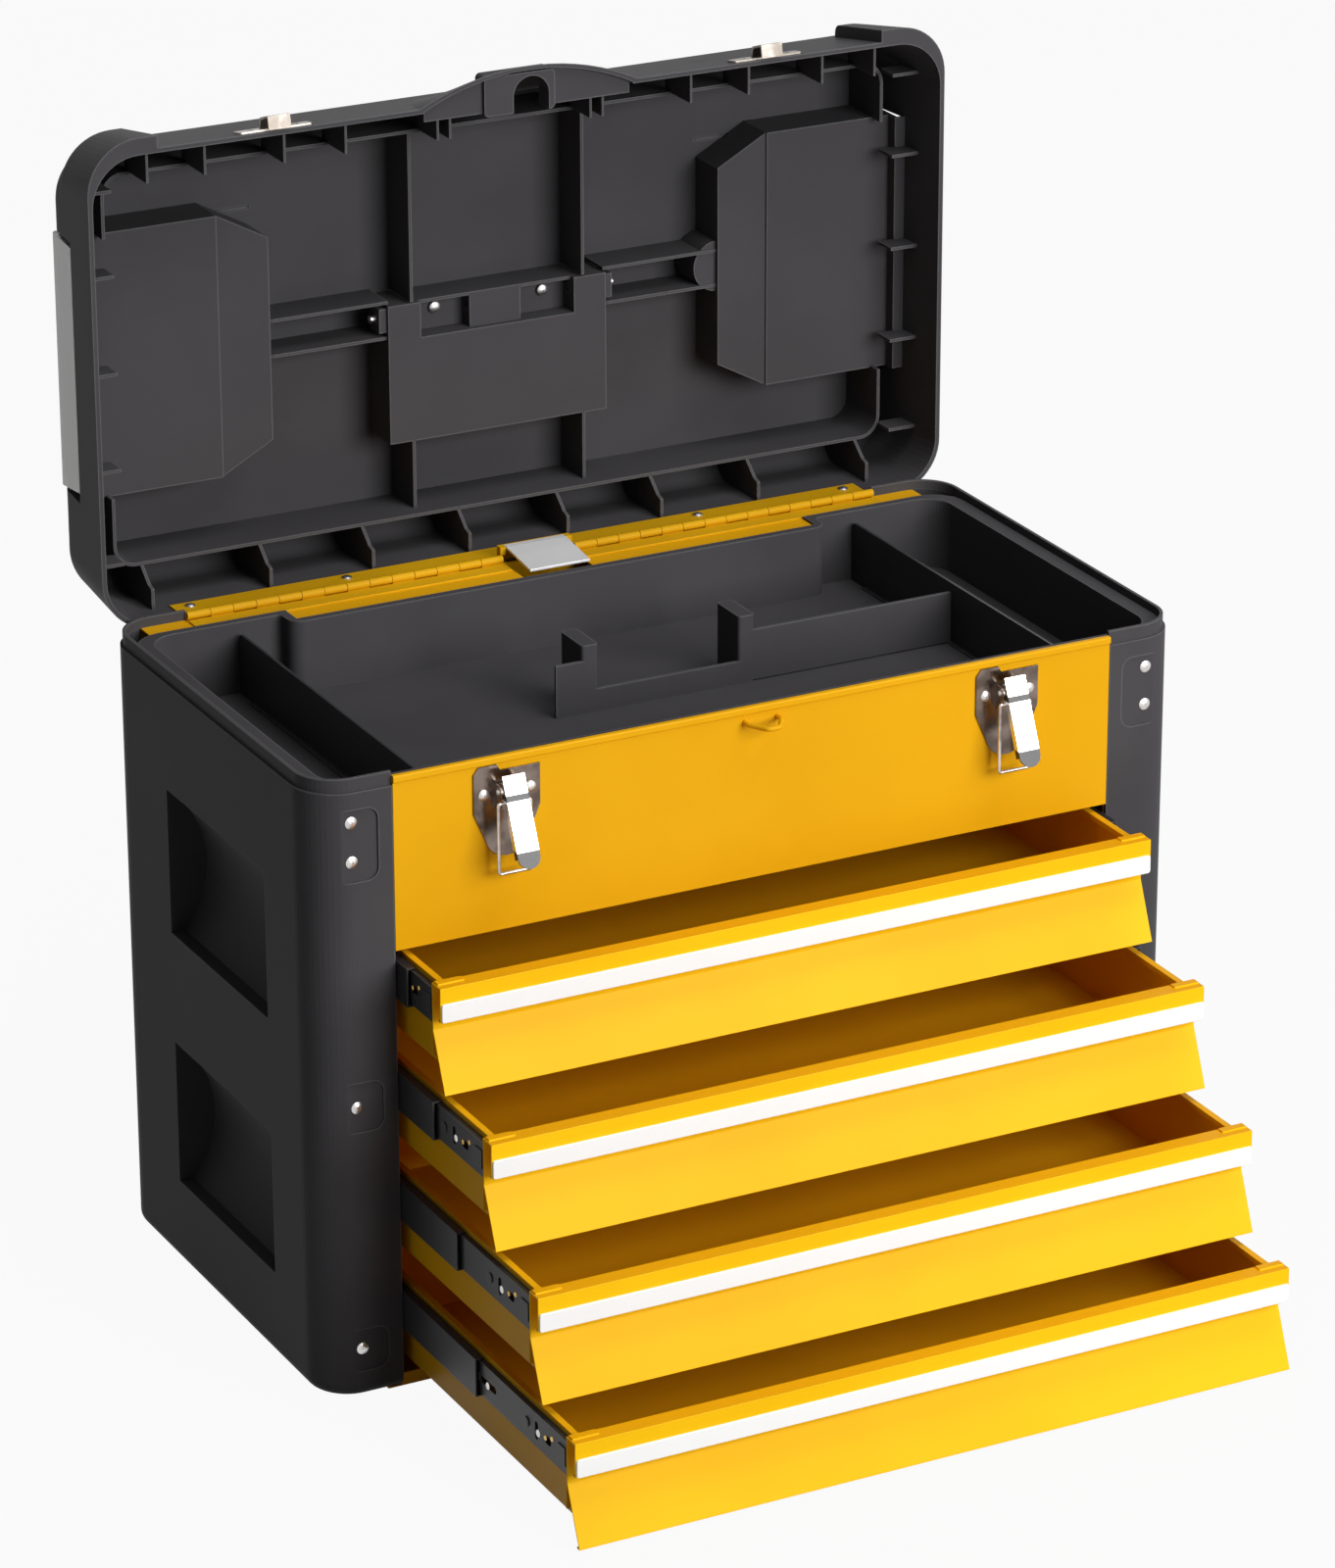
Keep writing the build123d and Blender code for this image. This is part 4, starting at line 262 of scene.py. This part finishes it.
def plated_steel(name, dark, light, smooth=0.12, rough=0.34, dark_tip=False):
    """Nickel or brass plate, brushed and a little clouded; a lever's tip and groove are dark."""
    m = Mat(name, Metallic=1.0, Specular_IOR_Level=0.3)
    brushed = m.noise(900.0, 3.0, 0.6, stretch=(1.0, 1.0, 0.06))
    cloud = m.noise(70.0, 4.0)
    tone = m.mix(cloud.ramp(0.35, 0.65), dark, light)
    if dark_tip:
        height = m.height()
        tip = height.ramp(LEVER_TIP_Z, LEVER_TIP_Z + 0.0008, 1.0, 0.0)
        foot, floor_of_groove, top_of_groove, head = PIN_GROOVE_Z
        groove = height.ramp(foot, floor_of_groove) * height.ramp(top_of_groove, head, 1.0, 0.0)
        dull = (tip + groove).clamp()
        tone = m.mix(dull, tone, (0.05, 0.048, 0.05))
        m.set("Metallic", 1.0 - dull)
    m.set("Base Color", tone)
    m.set("Roughness", (smooth + (rough - smooth) * (0.7 * brushed + 0.3 * cloud)).clamp())
    return m.finish(brushed, 0.00002, 0.35)


def satin_plate():
    m = Mat("satin_plate", Metallic=0.25, Specular_IOR_Level=0.5)
    brushed = m.noise(700.0, 3.0, 0.6, stretch=(0.08, 1.0, 1.0))
    cloud = m.noise(60.0, 3.0)
    m.set("Base Color", m.mix(cloud, (0.80, 0.80, 0.80), (0.93, 0.93, 0.93)))
    m.set("Roughness", (0.22 + 0.2 * brushed).clamp())
    return m.finish(brushed, 0.00002, 0.35)


def zinc_steel():
    m = Mat("grey_steel", Metallic=1.0)
    cloud = m.noise(160.0, 4.0)
    m.set("Base Color", m.mix(cloud, (0.50, 0.48, 0.46), (0.78, 0.77, 0.76)))
    m.set("Roughness", (0.2 + 0.3 * cloud).clamp())
    return m.finish(m.noise(1500.0), 0.00003, 0.4)


def smoky_plastic():
    m = Mat("smoky_plastic", Transmission_Weight=0.55, IOR=1.46)
    cloud = m.noise(18.0, 3.0)
    m.set("Base Color", m.mix(cloud, (0.46, 0.45, 0.435), (0.55, 0.54, 0.52)))
    m.set("Roughness", 0.16 + 0.14 * cloud)
    return m.finish(m.noise(500.0), 0.00005, 0.3)


panel_yellow = powder_coat("yellow_paint", (0.76, 0.375, 0.004), (0.82, 0.415, 0.006))
# Painted light: the drawer fronts are a brighter copy of the body's yellow; their lip colour is
# a painted shade on the faces that look up.
drawer_yellow_painted_light = powder_coat("drawer_yellow_painted_light", (0.93, 0.515, 0.004), (0.99, 0.565, 0.006),
                            up_facing_painted_shade=(0.80, 0.38, 0.004))
# Painted shade: the hinge leaves are a darker copy of the body's yellow.
hinge_yellow_painted_shade = powder_coat("hinge_yellow_painted_shade", (0.62, 0.33, 0.006), (0.78, 0.43, 0.008))
# Painted reflection: the latch plates get a dark brown nickel that stands in for a dark
# reflection.
plate_nickel_painted_reflection = plated_steel("nickel", (0.13, 0.098, 0.080), (0.27, 0.215, 0.185))
# Painted highlight: the levers are a near-white copy of the nickel that stands in for bright
# reflections.
lever_nickel_painted_highlight = plated_steel("nickel_painted_highlight", (0.84, 0.83, 0.82), (0.97, 0.97, 0.96),
                            dark_tip=True)
wire_nickel = plated_steel("wire_nickel", (0.34, 0.29, 0.26), (0.72, 0.68, 0.65))
strike_nickel = plated_steel("strike_nickel", (0.16, 0.14, 0.12), (0.36, 0.33, 0.30),
                             smooth=0.28, rough=0.5)
brass = plated_steel("brass", (0.42, 0.26, 0.07), (0.62, 0.42, 0.14))
mats = {"black_plastic": black_plastic(), "yellow_paint": panel_yellow,
        "trim_white": trim_white(), "black_steel": black_steel(), "nickel": plate_nickel_painted_reflection,
        "grey_steel": zinc_steel(), "smoky_plastic": smoky_plastic()}

# Pieces whose finish isn't their slot's own
finish_of = {"lid_stop_plate": satin_plate(), "hinge_leaf_lid": hinge_yellow_painted_shade,
             "hinge_leaf_body": hinge_yellow_painted_shade, "latch_strikes": strike_nickel}
for drawer in DRAWERS:
    finish_of[f"drawer_front_{drawer}"] = drawer_yellow_painted_light
for _, where in SIDES:
    finish_of[f"latch_lever_{where}"] = lever_nickel_painted_highlight
    finish_of[f"latch_bail_{where}"] = wire_nickel


# Materials and soft edges on the CAD nodes
def soften(obj, width):
    weld = obj.modifiers.new("weld", "WELD")
    weld.merge_threshold = WELD_REACH
    bevel = obj.modifiers.new("bevel", "BEVEL")
    bevel.width = width
    bevel.segments = 2
    bevel.limit_method = "ANGLE"
    bevel.angle_limit = math.radians(EDGE_ANGLE)


slot_of = {row["node"]: row["material_slot"] for row in frame["record"]["subparts"]}
for name, obj in nodes.items():
    slot = slot_of[name]
    obj.data.materials.clear()
    obj.data.materials.append(finish_of.get(name, mats[slot]))
    soften(obj, EDGE[slot])
    for polygon in obj.data.polygons:
        polygon.use_smooth = False


# Rivet heads and stop tabs on the slides
def dome(radius, height):
    """A low rounded head as (radius, height) points, from its foot to its flat top."""
    return [(radius, 0.0), (radius, height * 0.25), (radius * 0.86, height * 0.62),
            (radius * 0.55, height * 0.9), (radius * 0.2, height)]


def turned(name, outline, places, axis, body, material, steps=20):
    """Heads turned from an outline of (radius, height) points, one at each place, on an axis."""
    mesh = bpy.data.meshes.new(name)
    form = bmesh.new()
    turn = Vector((0, 0, 1)).rotation_difference(Vector(axis)).to_matrix().to_4x4()
    angles = [2 * math.pi * k / steps for k in range(steps)]
    for place in places:
        spot = Matrix.Translation(place) @ turn
        rings = [[form.verts.new(spot @ Vector((radius * math.cos(angle),
                                                radius * math.sin(angle), height)))
                  for angle in angles]
                 for radius, height in outline]
        for lower, upper in zip(rings, rings[1:]):
            for k in range(steps):
                after = (k + 1) % steps
                form.faces.new((lower[k], lower[after], upper[after], upper[k]))
        form.faces.new(rings[-1])
        form.faces.new(rings[0][::-1])
    bmesh.ops.recalc_face_normals(form, faces=form.faces)
    form.to_mesh(mesh)
    form.free()
    mesh.materials.append(material)
    for polygon in mesh.polygons:
        polygon.use_smooth = len(polygon.vertices) == 4
    head = bpy.data.objects.new(name, mesh)
    scene.collection.objects.link(head)
    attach(head, body)


def slide_fittings():
    """Rivet heads and brass stop tabs on the outer faces of each drawer's slide members."""
    kinds = (("rivets", RIVET_SPOTS, RIVET_RADIUS, mats["grey_steel"]),
             ("tabs", TAB_SPOTS, TAB_RADIUS, brass))
    for drawer in DRAWERS:
        low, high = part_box(f"slide_inner_{drawer}")
        middle_z = (low[2] + high[2]) / 2
        for side, where in SIDES:
            face_x = side * (abs(high[0]) - HEAD_SINK)
            for kind, spots, radius, material in kinds:
                places = [Vector((face_x, low[1] + behind, middle_z + above))
                          for behind, above in spots]
                turned(f"slide_{kind}_{drawer}_{where}", dome(radius, HEAD_HEIGHT), places,
                       (side, 0, 0), f"drawer_{drawer}", material)


slide_fittings()

# Floor: white to the camera and in reflections, grey where it lights the part
h = FLOOR_HALF
floor_mesh = bpy.data.meshes.new("floor")
floor_mesh.from_pydata([(-h, -h, 0), (h, -h, 0), (h, h, 0), (-h, h, 0)], [], [(0, 1, 2, 3)])
floor = bpy.data.objects.new("floor", floor_mesh)
scene.collection.objects.link(floor)
floor.location.z = cad_low.z - FLOOR_GAP
floor_mat = Mat("floor", Roughness=0.9)
floor_mat.set("Base Color", (FLOOR_GREY, FLOOR_GREY, FLOOR_GREY, 1.0))
tree = floor_mat.tree
rays = tree.nodes.new("ShaderNodeLightPath").outputs
white = tree.nodes.new("ShaderNodeEmission")
white.inputs["Strength"].default_value = 1.0
mixer = tree.nodes.new("ShaderNodeMixShader")
share = Value(floor_mat, rays["Is Camera Ray"]) + Value(floor_mat, rays["Is Glossy Ray"])
share = share + Value(floor_mat, rays["Is Transmission Ray"])
share = share.clamp() * FLOOR_SHOWN_WHITE
tree.links.new(share.socket, mixer.inputs[0])
tree.links.new(floor_mat.shader.outputs[0], mixer.inputs[1])
tree.links.new(white.outputs[0], mixer.inputs[2])
tree.links.new(mixer.outputs[0], tree.nodes["Material Output"].inputs[0])
floor_mesh.materials.append(floor_mat.material)

# World: white to the camera and in reflections, dim as a light on the part
world = bpy.data.worlds.new("studio")
scene.world = world
world.use_nodes = True
tree = world.node_tree
background = tree.nodes["Background"]
background.inputs["Color"].default_value = (1, 1, 1, 1)
rays = tree.nodes.new("ShaderNodeLightPath").outputs
seen = rays["Is Camera Ray"]
for kind in ("Is Glossy Ray", "Is Transmission Ray"):
    either = tree.nodes.new("ShaderNodeMath")
    either.operation = "MAXIMUM"
    tree.links.new(seen, either.inputs[0])
    tree.links.new(rays[kind], either.inputs[1])
    seen = either.outputs[0]
strength = tree.nodes.new("ShaderNodeMapRange")
strength.inputs["To Min"].default_value = WORLD_ON_OBJECT
strength.inputs["To Max"].default_value = WORLD_SEEN
tree.links.new(seen, strength.inputs["Value"])
tree.links.new(strength.outputs["Result"], background.inputs["Strength"])


# Lamps
def softbox(name, place, aim, size, watts):
    data = bpy.data.lights.new(name, "AREA")
    data.shape = "RECTANGLE"
    data.size, data.size_y = size
    data.energy = watts
    lamp = bpy.data.objects.new(name, data)
    scene.collection.objects.link(lamp)
    lamp.location = place
    lamp.rotation_euler = (Vector(aim) - Vector(place)).to_track_quat("-Z", "Y").to_euler()


softbox("key", (0.8, -2.45, 1.25), (0, 0, 0.4), (1.7, 1.3), 66)
softbox("top", (0.55, -0.7, 3.0), (0.1, 0, 0.3), (1.5, 1.8), 36)

# Camera at the photograph's place
eye = Vector((-1.5828, -3.0740, 1.6908))
forward = Vector((0.4269, 0.8213, -0.3785)).normalized()
level = forward.cross(Vector((0, 0, 1))).normalized()
roll = math.radians(-0.135)
right = math.cos(roll) * level + math.sin(roll) * level.cross(forward)
up = right.cross(forward)
camera_data = bpy.data.cameras.new("camera")
camera_data.lens = 145.62
camera_data.sensor_width = 36
camera_data.clip_end = 200
camera = bpy.data.objects.new("camera", camera_data)
camera.matrix_world = Matrix((
    (right.x, up.x, -forward.x, eye.x), (right.y, up.y, -forward.y, eye.y),
    (right.z, up.z, -forward.z, eye.z), (0, 0, 0, 1)))
scene.collection.objects.link(camera)
scene.camera = camera
scene.view_settings.view_transform = "Standard"
